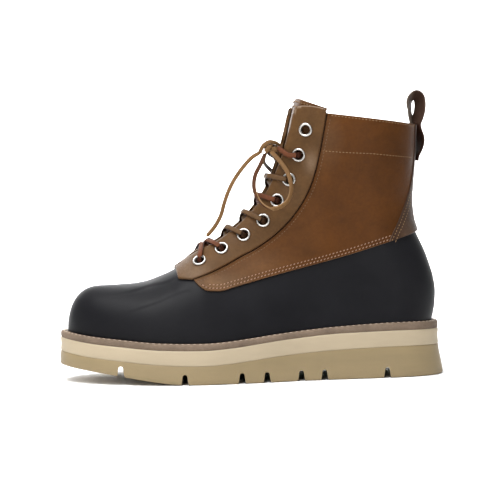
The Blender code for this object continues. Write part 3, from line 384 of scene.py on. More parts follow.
class Nodes:
    """Short calls for the nodes of one material."""

    def __init__(self, name):
        self.material = bpy.data.materials.new(name)
        self.material.use_nodes = True
        self.tree = self.material.node_tree
        self.shader = self.tree.nodes["Principled BSDF"]
        self.place = self.add("ShaderNodeTexCoord").outputs["Object"]

    def fill(self, node, values):
        """Sets or links a node's inputs."""
        for key, value in values.items():
            if isinstance(value, bpy.types.NodeSocket):
                self.tree.links.new(value, node.inputs[key])
            else:
                node.inputs[key].default_value = value
        return node

    def add(self, kind, values=None, **settings):
        node = self.tree.nodes.new(kind)
        for key, value in settings.items():
            setattr(node, key, value)
        return self.fill(node, values or {})

    def noise(self, scale, detail=3.0, rough=0.55, stretch=None, distort=0.0):
        place = self.place
        if stretch:
            place = self.add("ShaderNodeMapping", {"Scale": stretch, "Vector": place}).outputs["Vector"]
        values = {"Vector": place, "Scale": scale, "Detail": detail, "Roughness": rough, "Distortion": distort}
        return self.add("ShaderNodeTexNoise", values).outputs["Fac"]

    def cells(self, scale, feature="DISTANCE_TO_EDGE"):
        values = {"Vector": self.place, "Scale": scale}
        return self.add("ShaderNodeTexVoronoi", values, feature=feature).outputs["Distance"]

    def ramp(self, value, *stops):
        """Maps a value through stops, each a place and a grey or a colour."""
        node = self.add("ShaderNodeValToRGB", {"Fac": value})
        elements = node.color_ramp.elements
        while len(elements) < len(stops):
            elements.new(0.5)
        for element, (place, colour) in zip(elements, stops):
            element.position = place
            element.color = (*colour, 1.0) if isinstance(colour, tuple) else (colour,) * 3 + (1.0,)
        return node.outputs["Color"]

    def mix(self, factor, a, b, blend="MIX"):
        values = {"Factor": factor}
        for socket, colour in ((6, a), (7, b)):
            values[socket] = (*colour, 1.0) if isinstance(colour, tuple) else colour
        return self.add("ShaderNodeMix", values, data_type="RGBA", blend_type=blend).outputs[2]

    def shade(self, colour, factor, *stops):
        """The colour times a ramp of the factor."""
        return self.mix(1.0, colour, self.ramp(factor, *stops), "MULTIPLY")

    def bump(self, *layers):
        """Adds bump layers, each a height and its depth in millimetres."""
        normal = {}
        for height, depth in layers:
            values = {"Strength": 1.0, "Distance": depth * MM, "Height": height, **normal}
            normal = {"Normal": self.add("ShaderNodeBump", values).outputs["Normal"]}
        self.fill(self.shader, normal)

    def finish(self, colour, rough, metallic=0.0, specular=0.5):
        self.fill(self.shader, {
            "Base Color": colour, "Roughness": rough, "Metallic": metallic, "Specular IOR Level": specular,
        })
        return self.material


def leather(name, dark, base, light, rough=(0.40, 0.56), grain=0.05):
    """Oiled leather: cloudy colour, lighter where the tone is high and darker where it is low."""
    n = Nodes(name)
    clouds = n.noise(38.0, 4.0, 0.6, distort=0.3)
    fine = n.noise(420.0, 4.0, 0.7)
    tone = n.add("ShaderNodeAttribute", attribute_name="tone").outputs["Fac"]
    colour = n.ramp(tone, (0.0, dark), (0.5, base), (1.0, light))
    colour = n.shade(colour, clouds, (0.30, 0.80), (0.70, 1.16))
    colour = n.shade(colour, fine, (0.35, 0.90), (0.65, 1.08))
    pores = n.ramp(n.cells(1500.0), (0.0, 0.0), (0.25, 1.0))
    creases = n.noise(90.0, 3.0, 0.6, stretch=(0.6, 0.6, 1.6))
    n.bump((creases, 0.35), (pores, grain), (n.noise(900.0, 3.0, 0.7), grain))
    return n.finish(colour, n.ramp(clouds, (0.3, rough[0]), (0.7, rough[1])), specular=0.11)


def rubber(name, base, rough, specular=0.5, fine=0.04, wave=0.15):
    n = Nodes(name)
    clouds = n.noise(30.0, 3.0, 0.6)
    colour = n.shade(base, clouds, (0.3, 0.9), (0.7, 1.1))
    n.bump((n.noise(55.0, 2.0, 0.5), wave), (n.noise(1300.0, 4.0, 0.7), fine))
    return n.finish(colour, n.ramp(clouds, (0.3, rough[0]), (0.7, rough[1])), specular=specular)


def foam(name, base, dirt, rough):
    """Foamed rubber: fine cells, faint stains and streaks."""
    n = Nodes(name)
    colour = n.mix(n.ramp(n.noise(24.0, 5.0, 0.65), (0.50, 0.0), (0.75, 0.15)), base, dirt)
    colour = n.shade(colour, n.noise(14.0, 4.0, 0.6, stretch=(1.0, 1.0, 6.0)), (0.3, 0.93), (0.7, 1.05))
    n.bump((n.noise(120.0, 3.0, 0.6), 0.10), (n.cells(700.0, "F1"), 0.06))
    return n.finish(colour, rough)


def thread(name, base):
    n = Nodes(name)
    twist = n.noise(1400.0, 2.0, 0.6)
    n.bump((twist, 0.08))
    return n.finish(n.shade(base, twist, (0.3, 0.75), (0.7, 1.2)), 0.7)


def metal(name, base, rough):
    n = Nodes(name)
    wear = n.noise(300.0, 4.0, 0.6)
    n.bump((n.noise(700.0, 3.0, 0.6), 0.02))
    roughness = n.ramp(wear, (0.3, rough[0]), (0.7, rough[1]))
    return n.finish(n.shade(base, wear, (0.3, 0.88), (0.7, 1.05)), roughness, metallic=1.0)


DULL = (0.6, 0.75)
RAWHIDE = (0.5, 0.65)
FINISHES = {
    # rubber: colour, roughness, gloss, depth of grain and of waves
    "shell": (rubber, (0.0052, 0.0052, 0.0066), (0.46, 0.56), 0.12, 0.03, 0.10),
    "shell_inside": (rubber, (0.05, 0.04, 0.03), (0.8, 0.9)),
    # dark: painted shade, the near-black of the stitch holes
    "dark": (rubber, (0.010, 0.006, 0.004), (0.8, 0.9), 0.15),
    # leather: dark, plain and light colours, roughness, depth of grain
    "quarter": (leather, (0.034, 0.0108, 0.0012), (0.0670, 0.0224, 0.0030), (0.145, 0.086, 0.046)),
    "stay": (leather, (0.042, 0.0180, 0.0055), (0.0750, 0.0360, 0.0120), (0.19, 0.130, 0.085)),
    "backstay": (leather, (0.030, 0.015, 0.009), (0.034, 0.0165, 0.0088), (0.11, 0.070, 0.048)),
    "lining": (leather, (0.06, 0.034, 0.016), (0.10, 0.058, 0.028), (0.15, 0.09, 0.05), DULL),
    "tongue": (leather, (0.040, 0.016, 0.005), (0.080, 0.033, 0.009), (0.16, 0.09, 0.045)),
    "loop": (leather, (0.026, 0.011, 0.007), (0.062, 0.038, 0.026), (0.15, 0.125, 0.105)),
    "welt": (leather, (0.095, 0.056, 0.036), (0.150, 0.110, 0.080), (0.26, 0.19, 0.14), DULL),
    # groove: painted shade, the near-black leather of the sheet in each groove
    "groove": (leather, (0.010, 0.0045, 0.002), (0.020, 0.0085, 0.0035), (0.05, 0.025, 0.012), DULL),
    "bar": (leather, (0.030, 0.008, 0.005), (0.080, 0.025, 0.010), (0.150, 0.056, 0.025), RAWHIDE, 0.08),
    "bar_brown": (leather, (0.028, 0.010, 0.005), (0.070, 0.036, 0.015), (0.14, 0.080, 0.038), RAWHIDE, 0.08),
    "bow": (leather, (0.045, 0.012, 0.006), (0.130, 0.066, 0.024), (0.235, 0.140, 0.066), RAWHIDE, 0.08),
    # foam: colour, stains, roughness
    "midsole": (foam, (0.355, 0.290, 0.195), (0.26, 0.20, 0.14), 0.62),
    "outsole": (foam, (0.216, 0.161, 0.080), (0.15, 0.11, 0.06), 0.60),
    "footbed": (foam, (0.16, 0.11, 0.065), (0.08, 0.055, 0.035), 0.8),
    "gold_thread": (thread, (0.19, 0.105, 0.042)),
    "brown_thread": (thread, (0.100, 0.052, 0.019)),
    "red_thread": (thread, (0.26, 0.145, 0.090)),
    "welt_thread": (thread, (0.44, 0.34, 0.25)),
    "nickel": (metal, (0.50, 0.485, 0.46), (0.22, 0.36)),
}
MATERIALS = {name: make(name, *values) for name, (make, *values) in FINISHES.items()}


# Making meshes


def mesh_of(name, points, faces, inner=(0, 0), angle=40):
    """A mesh in metres from points in mm. The inner faces, from one number up to another, take the
    second material."""
    mesh = bpy.data.meshes.new(name)
    mesh.from_pydata([tuple(p) for p in np.asarray(points) * MM], [], faces)
    slots = np.zeros(len(mesh.polygons), dtype=np.int32)
    slots[slice(*inner)] = 1
    mesh.polygons.foreach_set("material_index", slots)
    mesh.validate()
    mesh.shade_smooth()
    mesh.set_sharp_from_angle(angle=math.radians(angle))
    return mesh


def new_object(name, data):
    item = bpy.data.objects.new(name, data)
    bpy.context.scene.collection.objects.link(item)
    return item


def add(name, mesh, finishes, slot, replaced=(), tone=None):
    """A piece on the boot, with the CAD nodes that it stands for."""
    item = new_object(name, mesh)
    for finish in finishes.split():
        mesh.materials.append(MATERIALS[finish])
    set_tone(mesh, tone)
    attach(item, "root")
    if replaced:
        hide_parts(*replaced)
    return item


def set_tone(mesh, tone):
    """Stores light and dark places: tone is 0 dark, 0.5 plain, 1 light, from places in mm."""
    if tone is None and "tone" in mesh.attributes:
        return
    places = np.empty(len(mesh.vertices) * 3)
    mesh.vertices.foreach_get("co", places)
    places = places.reshape(-1, 3) / MM
    values = np.full(len(places), 0.5) if tone is None else tone(places)
    layer = mesh.attributes.get("tone") or mesh.attributes.new("tone", "FLOAT", "POINT")
    layer.data.foreach_set("value", np.clip(values, 0.0, 1.0).astype(np.float32))


class Sheet:
    """A sheet on the boot's surface, made thick along its own normals."""

    def __init__(self):
        self.keys = {}
        self.points = []
        self.outs = []
        self.inns = []
        self.faces = []

    def grid(self, points, out, inn, flip=False):
        """Adds a grid of points in rows. Corners in one place are one corner."""
        shape = points.shape[:2]
        out, inn = np.broadcast_to(out, shape), np.broadcast_to(inn, shape)
        numbers = np.empty(shape, dtype=int)
        for i, j in np.ndindex(shape):
            key = tuple(np.round(points[i, j], 2))
            if key not in self.keys:
                self.keys[key] = len(self.points)
                self.points.append(points[i, j])
                self.outs.append(out[i, j])
                self.inns.append(inn[i, j])
            numbers[i, j] = self.keys[key]
        for i, j in np.ndindex(shape[0] - 1, shape[1] - 1):
            face = [numbers[i, j], numbers[i, j + 1], numbers[i + 1, j + 1], numbers[i + 1, j]]
            face = list(dict.fromkeys(int(n) for n in face))
            if len(face) > 2:
                self.faces.append(face[::-1] if flip else face)

    def piece(self, name, *rest, **more):
        """The closed wall as a piece, its inner faces in the second material slot."""
        points = np.array(self.points)
        normals = np.zeros_like(points)
        for face in self.faces:
            a, b, c = points[face[0]], points[face[1]], points[face[2]]
            d = points[face[-1]]
            normals[face] += np.cross(c - a, d - b) if len(face) == 4 else np.cross(b - a, c - a)
        normals = unit(normals)
        walls = [points + normals * np.array(reach)[:, None] for reach in (self.outs, self.inns)]
        count = len(points)
        edges = {edge: True for face in self.faces for edge in zip(face, face[1:] + face[:1])}
        rim = [(b, a, a + count, b + count) for a, b in edges if (b, a) not in edges]
        back = [[i + count for i in face[::-1]] for face in self.faces]
        faces = self.faces + rim + back
        mesh = mesh_of(name, np.vstack(walls), faces, (len(faces) - len(back), len(faces)))
        return add(name, mesh, *rest, **more)


def edge_drop(distance, radius):
    """How far a rounded edge falls at a distance from its rim."""
    d = np.clip(distance, 0.0, radius)
    return radius - np.sqrt(np.maximum(radius**2 - (radius - d) ** 2, 0.0))


def curve_through(route, spacing):
    """Points along a smooth curve through a route, about the given distance apart."""
    route = np.asarray(route, dtype=float)
    ends = np.vstack([route[0] * 2 - route[1], route, route[-1] * 2 - route[-2]])
    points = [route[0]]
    for a, b, c, d in zip(ends, ends[1:], ends[2:], ends[3:]):
        count = max(1, round(float(np.linalg.norm(c - b)) / spacing))
        for t in np.arange(1, count + 1) / count:
            points.append(0.5 * (
                2 * b + (c - a) * t + (2 * a - 5 * b + 4 * c - d) * t**2
                + (3 * b - a - 3 * c + d) * t**3
            ))
    return np.array(points)


def lengths(points):
    """How far along a line each of its points is."""
    return np.concatenate([[0], np.cumsum(np.linalg.norm(np.diff(points, axis=0), axis=1))])


def ribbon_mesh(name, points, flats, width, thickness=LACE_THICKNESS, tones=None, tips=0.0, bevel=0.8, sides=12):
    """A flat strip along points. flats point out of its flat face. Tips taper over that length.

    tones are those of the face, the edges and the back."""
    along = unit(np.gradient(points, axis=0))
    flats = unit(flats - along * np.sum(flats * along, axis=1, keepdims=True))
    across = np.cross(along, flats)
    angles = np.arange(sides) * 2 * math.pi / sides + math.pi / sides
    square = np.stack([np.cos(angles), np.sin(angles)], axis=1)
    square = np.sign(square) * np.abs(square) ** bevel
    size = np.ones(len(points))
    if tips:
        length = lengths(points)
        size = np.minimum(1.0, 0.45 + 0.55 * np.sqrt(np.minimum(length, length[-1] - length) / tips))
    rings = []
    for p, a, f, s in zip(points, across, flats, size):
        rings.append(p + a * square[:, :1] * width / 2 * s + f * square[:, 1:] * thickness / 2 * s)
    places = np.vstack(rings + [points[:1], points[-1:]])
    first, last = len(places) - 2, len(places) - 1
    end = (len(points) - 1) * sides
    after = [(k + 1) % sides for k in range(sides)]
    faces = [(i + k, i + j, i + sides + j, i + sides + k) for i in range(0, end, sides) for k, j in enumerate(after)]
    faces += [(first, j, k) for k, j in enumerate(after)]
    faces += [(last, end + k, end + j) for k, j in enumerate(after)]
    mesh = mesh_of(name, places, faces, angle=60)
    # The tones paint light and shade on the strip, by which way each side faces.
    if tones:
        ring = [tones[0] if math.sin(a) > 0.4 else tones[2] if math.sin(a) < -0.4 else tones[1] for a in angles]
        values = np.array(ring * len(points) + [tones[1]] * 2, dtype=np.float32)
        mesh.attributes.new("tone", "FLOAT", "POINT").data.foreach_set("value", values)
    return mesh


def join_meshes(name, meshes):
    """One mesh from several."""
    bm = bmesh.new()
    for mesh in meshes:
        bm.from_mesh(mesh)
        bpy.data.meshes.remove(mesh)
    joined = bpy.data.meshes.new(name)
    bm.to_mesh(joined)
    bm.free()
    return joined


def cut(item, name, meshes, tone=None):
    """Cuts meshes out of a piece."""
    cutter = new_object(name, join_meshes(name, meshes))
    step = item.modifiers.new(name, "BOOLEAN")
    step.operation = "DIFFERENCE"
    step.solver = "EXACT"
    step.object = cutter
    graph = bpy.context.evaluated_depsgraph_get()
    mesh = bpy.data.meshes.new_from_object(item.evaluated_get(graph))
    item.modifiers.clear()
    item.data = mesh
    bpy.data.objects.remove(cutter)
    set_tone(mesh, tone)


# Camera


def make_camera():
    turn, roll, pitch = (math.radians(a) for a in (CAMERA_TURN, CAMERA_ROLL, CAMERA_PITCH))
    level = Vector((math.sin(turn), math.cos(turn), 0.0))
    forward = level * math.cos(pitch) - Vector((0.0, 0.0, math.sin(pitch)))
    right0 = Vector((math.cos(turn), -math.sin(turn), 0.0))
    up0 = right0.cross(forward)
    right = right0 * math.cos(roll) + up0 * math.sin(roll)
    up = up0 * math.cos(roll) - right0 * math.sin(roll)
    data = bpy.data.cameras.new("camera")
    data.sensor_width = 36.0
    data.lens = CAMERA_FOCAL_PIXELS * data.sensor_width / PHOTO_PIXELS
    data.clip_start = 0.05
    place = (Vector((CAMERA_AIM_X, 0.0, CAMERA_HEIGHT)) - level * CAMERA_DISTANCE) * MM
    camera = new_object("camera", data)
    camera.matrix_world = Matrix.Translation(place) @ Matrix((right, up, -forward)).transposed().to_4x4()
    bpy.context.scene.camera = camera


# Cords of the bow


def knot_exit(towards):
    """The place where a cord leaves the knot on its way to another place."""
    place = np.array(KNOT_PLACE)
    away = np.array(towards) - place
    reach = math.sqrt(float(np.sum((away / np.array(KNOT_SIZE)) ** 2)))
    return place + away / reach + away / np.linalg.norm(away) * 0.5


# Painted light on the bow's strips: face plain, edges lighter as a painted highlight, back darker as painted shade.
BOW_LIGHT_AND_SHADE = (0.55, 0.85, 0.1)
CORD_FLATS = {
    # where a cord's flat face points, at even steps along it
    "lace_loop_lateral": (
        (0.0, -0.9, 0.45), (-0.1, -1.0, 0.0), (0.2, -1.0, 0.0), (0.5, -0.85, 0.0), (0.95, -0.25, 0.1),
        (0.45, 0.88, 0.1), (0.25, 0.95, 0.15), (0.6, 0.75, 0.2),
    ),
    "lace_end_lateral": ((-0.3, -0.9, 0.3), (-0.5, -0.85, 0.2), (-0.4, -0.9, 0.2)),
    "lace_loop_medial": ((0.0, 0.9, 0.45), (-0.3, 0.95, 0.1), (-0.9, 0.4, 0.0)),
    "lace_end_medial": ((-0.6, 0.3, 0.7), (-0.8, 0.4, 0.4), (-0.8, 0.5, 0.3)),
}


def make_bow():
    """The bow's two loops and two ends, as flat strips that turn slowly along their way."""
    for name, route in CORD_ROUTES.items():
        route = [knot_exit(route[0]), *route]
        is_loop = "loop" in name
        if is_loop:
            route.append(knot_exit(route[-1]))
        points = curve_through(route, 1.5)
        flats = spread_over(len(points), CORD_FLATS[name])
        mesh = ribbon_mesh(name, points, flats, LACE_WIDTH, tones=BOW_LIGHT_AND_SHADE, tips=0.0 if is_loop else 2.0)
        add(name + "_strip", mesh, "bow", "lace_rawhide", (name,))


make_camera()
make_bow()


# Shell


def step_height(x, z):
    """Two soft steps over the vamp: none below a line, then a rise that fades upwards."""
    rise = np.zeros_like(x)
    for rows, (front, back) in zip((LOW_STEP, HIGH_STEP), STEP_ENDS):
        fade = ease((x - front[0]) / (front[1] - front[0])) * ease((back[1] - x) / (back[1] - back[0]))
        above = z - curve_at(rows, x)[..., 1]
        rise += 0.5 * fade * (1.0 - ease((above - 0.8) / 8.0)) * ease(above / 1.6 + 0.5)
    return rise


def close_seam(points, at):
    """Puts one line of a grid on the boot's middle."""
    line = points[at]
    line[..., 1] = middle(line[..., 0], line[..., 2])


SHELL_LAP = 1.6
SHELL_RISE = 0.9
THROAT_COLUMNS = (
    # foot x, top x, top z
    (-60.0, -60.0, 89.2), (-57.0, -57.0, 91.2), (-54.0, -54.0, 93.2), (-51.5, -46.5, 89.0),
)


def make_shell():
    sheet = Sheet()
    steps = 1.0 - (1.0 - np.linspace(0, 1, 58)) ** 1.6
    tip = TOE_X + (TOE_CAP_END - TOE_X) * np.linspace(0, 1, 24) ** 2
    x = np.concatenate([tip, np.linspace(TOE_CAP_END, VAMP_END, 52)[1:]])
    grid_x = np.broadcast_to(x, (len(steps), len(x)))
    grid_z = mix(feather(x), crest(x), steps[:, None])
    for side, _ in SIDES:
        points = base_points(grid_x, grid_z, side)
        close_seam(points, np.s_[-1])
        close_seam(points, np.s_[:, 0])
        sheet.grid(points, step_height(grid_x, grid_z), -SHELL_WALL, flip=side > 0)
    # Side walls from the end of the vamp round the heel, up under the quarters
    part = np.concatenate([np.linspace(1.0, 0.0, 90), -(1 - (1 - np.linspace(0, 1, 26)[1:]) ** 2)])
    edge_x, edge_z = course_xz(0.0, part)
    lap_x, lap_z = course_xz(SHELL_LAP, part)
    heel_foot = feather(145.0)
    seam_foot = curve_at(BACK, heel_foot)[1]
    follow = ease((edge_x - 40.0) / (edge_x[-1] - 40.0))
    foot_x = edge_x + follow * (seam_foot - edge_x[-1])
    columns_x, columns_z = [], []
    for foot, top_x, top_z in spread_over(9, THROAT_COLUMNS):
        columns_x.append(mix(foot, top_x, steps**6))
        columns_z.append(mix(feather(foot), top_z, steps))
    rise = np.clip(steps / SHELL_RISE, 0, 1)
    over = np.clip((steps - SHELL_RISE) / (1.0 - SHELL_RISE), 0, 1)
    bulge = curve_at(BACK, mix(heel_foot, edge_z[-1], rise))[:, 1] - mix(seam_foot, edge_x[-1], rise)
    for i in range(len(part)):
        x = mix(foot_x[i], edge_x[i], rise) + follow[i] * bulge
        x = np.where(over > 0, mix(edge_x[i], lap_x[i], over), x)
        z = np.where(over > 0, mix(edge_z[i], lap_z[i], over), mix(feather(foot_x[i]), edge_z[i], rise))
        columns_x.append(x)
        columns_z.append(z)
    columns_x[-1] = curve_at(BACK, columns_z[-1])[:, 1]
    grid_x, grid_z = np.array(columns_x).T, np.array(columns_z).T
    for side, _ in SIDES:
        points = base_points(grid_x, grid_z, side)
        close_seam(points, np.s_[:, -1])
        sheet.grid(points, step_height(grid_x, grid_z), -SHELL_WALL, flip=side > 0)
    sheet.piece("shell", "shell shell_inside", "black_rubber", ("upper_shell",))


# Leather shaft


def patched(tone, x, z, patches):
    """A tone with soft patches, each a strength, a centre and a reach in the side view."""
    for strength, centre, reach in patches:
        hill = -((x - centre[0]) / reach[0]) ** 2 - ((z - centre[1]) / reach[1]) ** 2
        tone = tone + strength * np.exp(hill)
    return tone


def away_from(line, x, z):
    """How far places of the side view are from a line of points."""
    return np.hypot(x[..., None] - line[:, 0], z[..., None] - line[:, 1]).min(axis=-1)


def inner_face(levels, low):
    """How far out a panel's inner face lies: over the shell's lap below, and inside the base above."""
    return mix(low, -0.5, ease((levels - 1.7) / 0.5))[:, None]


# Painted highlight: the tone of a thin lighter line along the rounded edges of the quarters, backstay and eyestays.
EDGE_HIGHLIGHT_TONE = 0.95
# Painted highlights on the quarters: soft lighter patches, each a strength, a centre and a reach.
QUARTER_HIGHLIGHTS = (
    (0.30, (-30.0, 78.0), (26.0, 9.0)), (0.10, (2.0, 92.0), (22.0, 10.0)), (0.10, (60.0, 190.0), (14.0, 20.0)),
)
BACKSTAY_PATCHES = ((0.25, (126.0, 115.0), (10.0, 12.0)),)
STAY_PATCHES = (
    (0.24, (46.0, 172.0), (5.0, 8.0)), (0.22, (-50.0, 87.0), (12.0, 8.0)),
    (0.06, (30.0, 150.0), (8.0, 12.0)), (-0.10, (0.0, 122.0), (20.0, 12.0)),
)
LOW_STITCH_ROWS = (1.9, 4.4)


def quarter_tone(p):
    """Darker towards the back; painted highlights in soft lighter patches along the front and near the top of the
    quarter, and along its lower edge.
    """
    x, z = p[:, 0], p[:, 2]
    tone = patched(0.52 - 0.14 * ease((x - 40.0) / 80.0), x, z, QUARTER_HIGHLIGHTS)
    above_edge = z - curve_at(LOW_EDGE, x)[:, 1]
    return np.where((above_edge < 0.35) & (x < 106.0), EDGE_HIGHLIGHT_TONE, tone)


def make_quarters():
    sheet = Sheet()
    levels = np.concatenate([
        [0.0, 0.05, 0.12, 0.22], np.linspace(0.35, LAST_COURSE - 0.16, 86),
        [LAST_COURSE - 0.08, LAST_COURSE - 0.03, LAST_COURSE],
    ])
    behind = -(1 - (1 - np.linspace(0, 1, 22)) ** 2)[::-1]
    ahead = np.concatenate([np.linspace(0, 0.955, 88), [0.965, 0.974, 0.981, 0.987, 0.992, 0.996, 1.0]])
    part = np.concatenate([behind, ahead[1:]])
    x, z = course_xz(levels[:, None], part)

    def away(line_x, line_z):
        return np.hypot(x - line_x, z - line_z)

    from_groove = away(*(v[:, None] for v in course_xz(levels, 1.0)))
    from_low = away(*course_xz(0.0, part))
    from_high = away(*course_xz(float(LAST_COURSE), part))
    out = QUARTER_OUT - edge_drop(from_low, 0.7) - edge_drop(from_high, 0.8) - edge_drop(from_groove, 0.6)
    out = out + 0.45 * np.exp(-((from_groove - 0.9) / 0.55) ** 2)
    for row in LOW_STITCH_ROWS:
        out = out - 0.22 * np.exp(-((from_low - row) / 0.5) ** 2)
    for side, _ in SIDES:
        points = base_points(x, z, side)
        close_seam(points, np.s_[:, 0])
        sheet.grid(points, out, inner_face(levels, 0.35), flip=side < 0)
    sheet.piece("quarters", "quarter lining", "brown_leather", ("upper_shaft",), quarter_tone)


def make_backstay():
    sheet = Sheet()
    levels = np.concatenate([
        [0.0, 0.04, 0.1, 0.2], np.linspace(0.35, LAST_COURSE - 0.2, 60), [LAST_COURSE - 0.05],
    ])
    part = -(1 - (1 - np.concatenate([[0, 0.006, 0.016, 0.03, 0.05], np.linspace(0.08, 1, 22)])) ** 2)
    x, z = course_xz(levels[:, None], part)
    edge_x, edge_z = course_xz(levels, 0.0)
    low_x, low_z = course_xz(0.0, part)
    out = BACKSTAY_OUT - edge_drop(np.hypot(x - edge_x[:, None], (z - edge_z[:, None]) * 0.3), 0.6)
    out = out - edge_drop(np.hypot(x - low_x, z - low_z), 0.6)
    for side, _ in SIDES:
        points = base_points(x, z, side)
        close_seam(points, np.s_[:, -1])
        sheet.grid(points, out, 1.0, flip=side > 0)
    sheet.piece("backstay", "backstay backstay", "brown_leather", tone=backstay_tone)


def backstay_tone(p):
    x, z = p[:, 0], p[:, 2]
    edge = np.stack(course_xz(np.linspace(0, LAST_COURSE, 240), 0.0), axis=1)
    # Painted highlight along the front edge; elsewhere plain, with one soft lighter patch.
    return np.where(away_from(edge, x, z) < 0.5, EDGE_HIGHLIGHT_TONE, patched(0.5, x, z, BACKSTAY_PATCHES))


def groove_lines(k):
    """The groove at levels k, and the direction from it to the eyestay's front edge."""
    row = curve_at(COURSE_ROWS, k)
    groove, front = row[..., 4:6], row[..., 6:8]
    return groove, front, unit(front - groove)


def stay_xz(k, part):
    """Side view of an eyestay: part runs from 0 beside the groove to 1 at its front edge."""
    k, part = floats(k, part)
    groove, front, ahead = groove_lines(k)
    plain = mix(groove + ahead * STAY_GAP, front, part[..., None])
    top = between_rows(part, np.linspace(0, 1, len(STAY_TOP)), STAY_TOP)
    point = mix(plain, top, ease(k - (LAST_COURSE - 1))[..., None])
    return point[..., 0], point[..., 1]


def stay_rim(levels, part):
    """Points round an eyestay's edge at its foot and top, and at levels of its sides."""
    lines = [stay_xz(k, part) for k in (0.0, float(LAST_COURSE))] + [stay_xz(levels, t) for t in (0.0, 1.0)]
    return np.vstack([np.stack(line, axis=1) for line in lines])


def stay_tone(p):
    """Lighter grey-brown patches, as on the photo's upper stay."""
    x, z = p[:, 0], p[:, 2]
    rim = stay_rim(np.empty(0), np.linspace(0, 1, 60))
    # Painted highlight along the stay's rim.
    return np.where(away_from(rim, x, z) < 0.55, EDGE_HIGHLIGHT_TONE, patched(0.5, x, z, STAY_PATCHES))


def make_stays():
    top_steps = [0.1, 0.2, 0.3, 0.4, 0.5, 0.6, 0.7, 0.8, 0.88, 0.94, 0.98, 1.0]
    levels = np.concatenate([
        [0.0, 0.05, 0.11, 0.2], np.linspace(0.3, LAST_COURSE - 1, 90), LAST_COURSE - 1 + np.array(top_steps),
    ])
    part = np.concatenate([
        [0, 0.012, 0.03, 0.05, 0.08], np.linspace(0.12, 0.88, 20), [0.92, 0.95, 0.97, 0.988, 1.0],
    ])
    x, z = stay_xz(levels[:, None], part)
    out = STAY_OUT - edge_drop(away_from(stay_rim(levels, part), x, z), 0.9)
    for side, word in SIDES:
        sheet = Sheet()
        sheet.grid(base_points(x, z, side), out, inner_face(levels, 1.0), flip=side < 0)
        sheet.piece(f"eyestay_{word}", "stay lining", "brown_leather", tone=stay_tone)


def make_painted_groove_shades():
    """Painted shade: a near-black sheet in the groove between each quarter and its eyestay, for the shadow under the
    stay's back edge.
    """
    levels = np.linspace(0.0, LAST_COURSE, 120)
    groove, _, ahead = groove_lines(levels)
    places = groove[:, None, :] + ahead[:, None, :] * np.array((-0.1, 0.5, 1.1, 1.7))[None, :, None]
    for side, word in SIDES:
        sheet = Sheet()
        points = base_points(places[..., 0], places[..., 1], side)
        sheet.grid(points, 0.75, inner_face(levels, 0.35), flip=side < 0)
        sheet.piece(f"painted_groove_shade_{word}", "groove groove", "brown_leather")


def make_tongue():
    """The tongue. Returns the two lines under its top edge that its stitches follow."""
    sheet = Sheet()
    heights = np.linspace(91.5, 222.0, 70)
    table = curve_at(TONGUE_LEVELS, heights)
    rows = RIB_ROWS[122:]
    rib = between_rows(heights, rows[:, 1], rows[:, :4])
    height = mix(table[:, 1:2], 0.995, np.linspace(0, 1, 10))
    x = mix(rib[:, 2:3], rib[:, 0:1], height)
    z = mix(rib[:, 3:4], rib[:, 1:2], height)
    top = ease((heights - 200.0) / 22.0)[:, None]
    z = z - top * (0.13 * np.maximum(x - 36.0, 0.0) - 1.0)
    x = x - top * 1.2
    lateral, medial = base_points(x, z, -1), base_points(x, z, 1)
    centre = []
    for t in np.linspace(0, 1, 16)[1:-1]:
        point = mix(lateral[:, -1], medial[:, -1], t)
        bow = (1.6 + 2.4 * ease((heights - 172.0) / 30.0)) * math.sin(math.pi * t) ** 0.7
        point[:, 0] -= bow * 0.8
        point[:, 2] += bow * 0.5
        centre.append(point)
    grid = np.concatenate([lateral, np.stack(centre, axis=1), medial[:, ::-1]], axis=1)
    out = table[:, 2:3] - edge_drop(222.0 - heights, 0.7)[:, None]
    sheet.grid(grid, out, table[:, 2:3] - TONGUE_WALL, flip=True)
    sheet.piece("tongue_leather", "tongue lining", "tongue_leather", ("tongue",))
    return grid[-2], grid[-4]


make_shell()
make_quarters()
make_backstay()
make_stays()
make_painted_groove_shades()
tongue_lines = make_tongue()


# Sole


def ring_of(inset, heel, height, count=150):
    """A closed line round the sole, inset from its outline: out along the lateral side and back
    along the medial one. heel is how far it ends behind the midsole."""
    toe, heel = SOLE_TOE + inset, MIDSOLE_HEEL + heel
    x = mix(toe, heel, (1 - np.cos(np.pi * np.arange(count + 1) / count)) / 2)
    row = curve_at(WIDTHS, x)
    centre = (row[:, 2] - row[:, 1]) / 2.0
    half = ((row[:, 2] + row[:, 1]) / 2.0 - inset) * end_round(x, toe, heel)
    lateral, medial = (np.stack([x, centre + side * half, height(x)], axis=1) for side, _ in SIDES)
    return np.vstack([lateral, medial[-2:0:-1]])


def layer_mesh(name, rings, closed):
    """A layer from rings, foot first. A closed layer has faces across its foot and its top."""
    count = len(rings[0])
    faces = []
    for r in range(len(rings) - 1 if closed else len(rings)):
        low, high = r * count, (r + 1) % len(rings) * count
        for i in range(count):
            j = (i + 1) % count
            faces.append((low + i, low + j, high + j, high + i))
    if closed:
        for start, order in ((0, -1), ((len(rings) - 1) * count, 1)):
            for i in range(count // 2):
                corners = (i, i + 1, (count - i - 1) % count, (count - i) % count)
                faces.append(tuple(dict.fromkeys(start + c for c in corners))[::order])
    return mesh_of(name, np.vstack(rings), faces, angle=50)


def line_of(rows, column, extra=0.0):
    """A height that follows a column of a table."""
    return lambda x: curve_at(rows, x)[..., column] + extra


def layer(column, extra=0.0):
    return line_of(LAYERS, column, extra)


def ground(extra=0.0):
    return line_of(GROUND, 1, extra)


def between(low, high, part):
    return lambda x: mix(low(x), high(x), part)


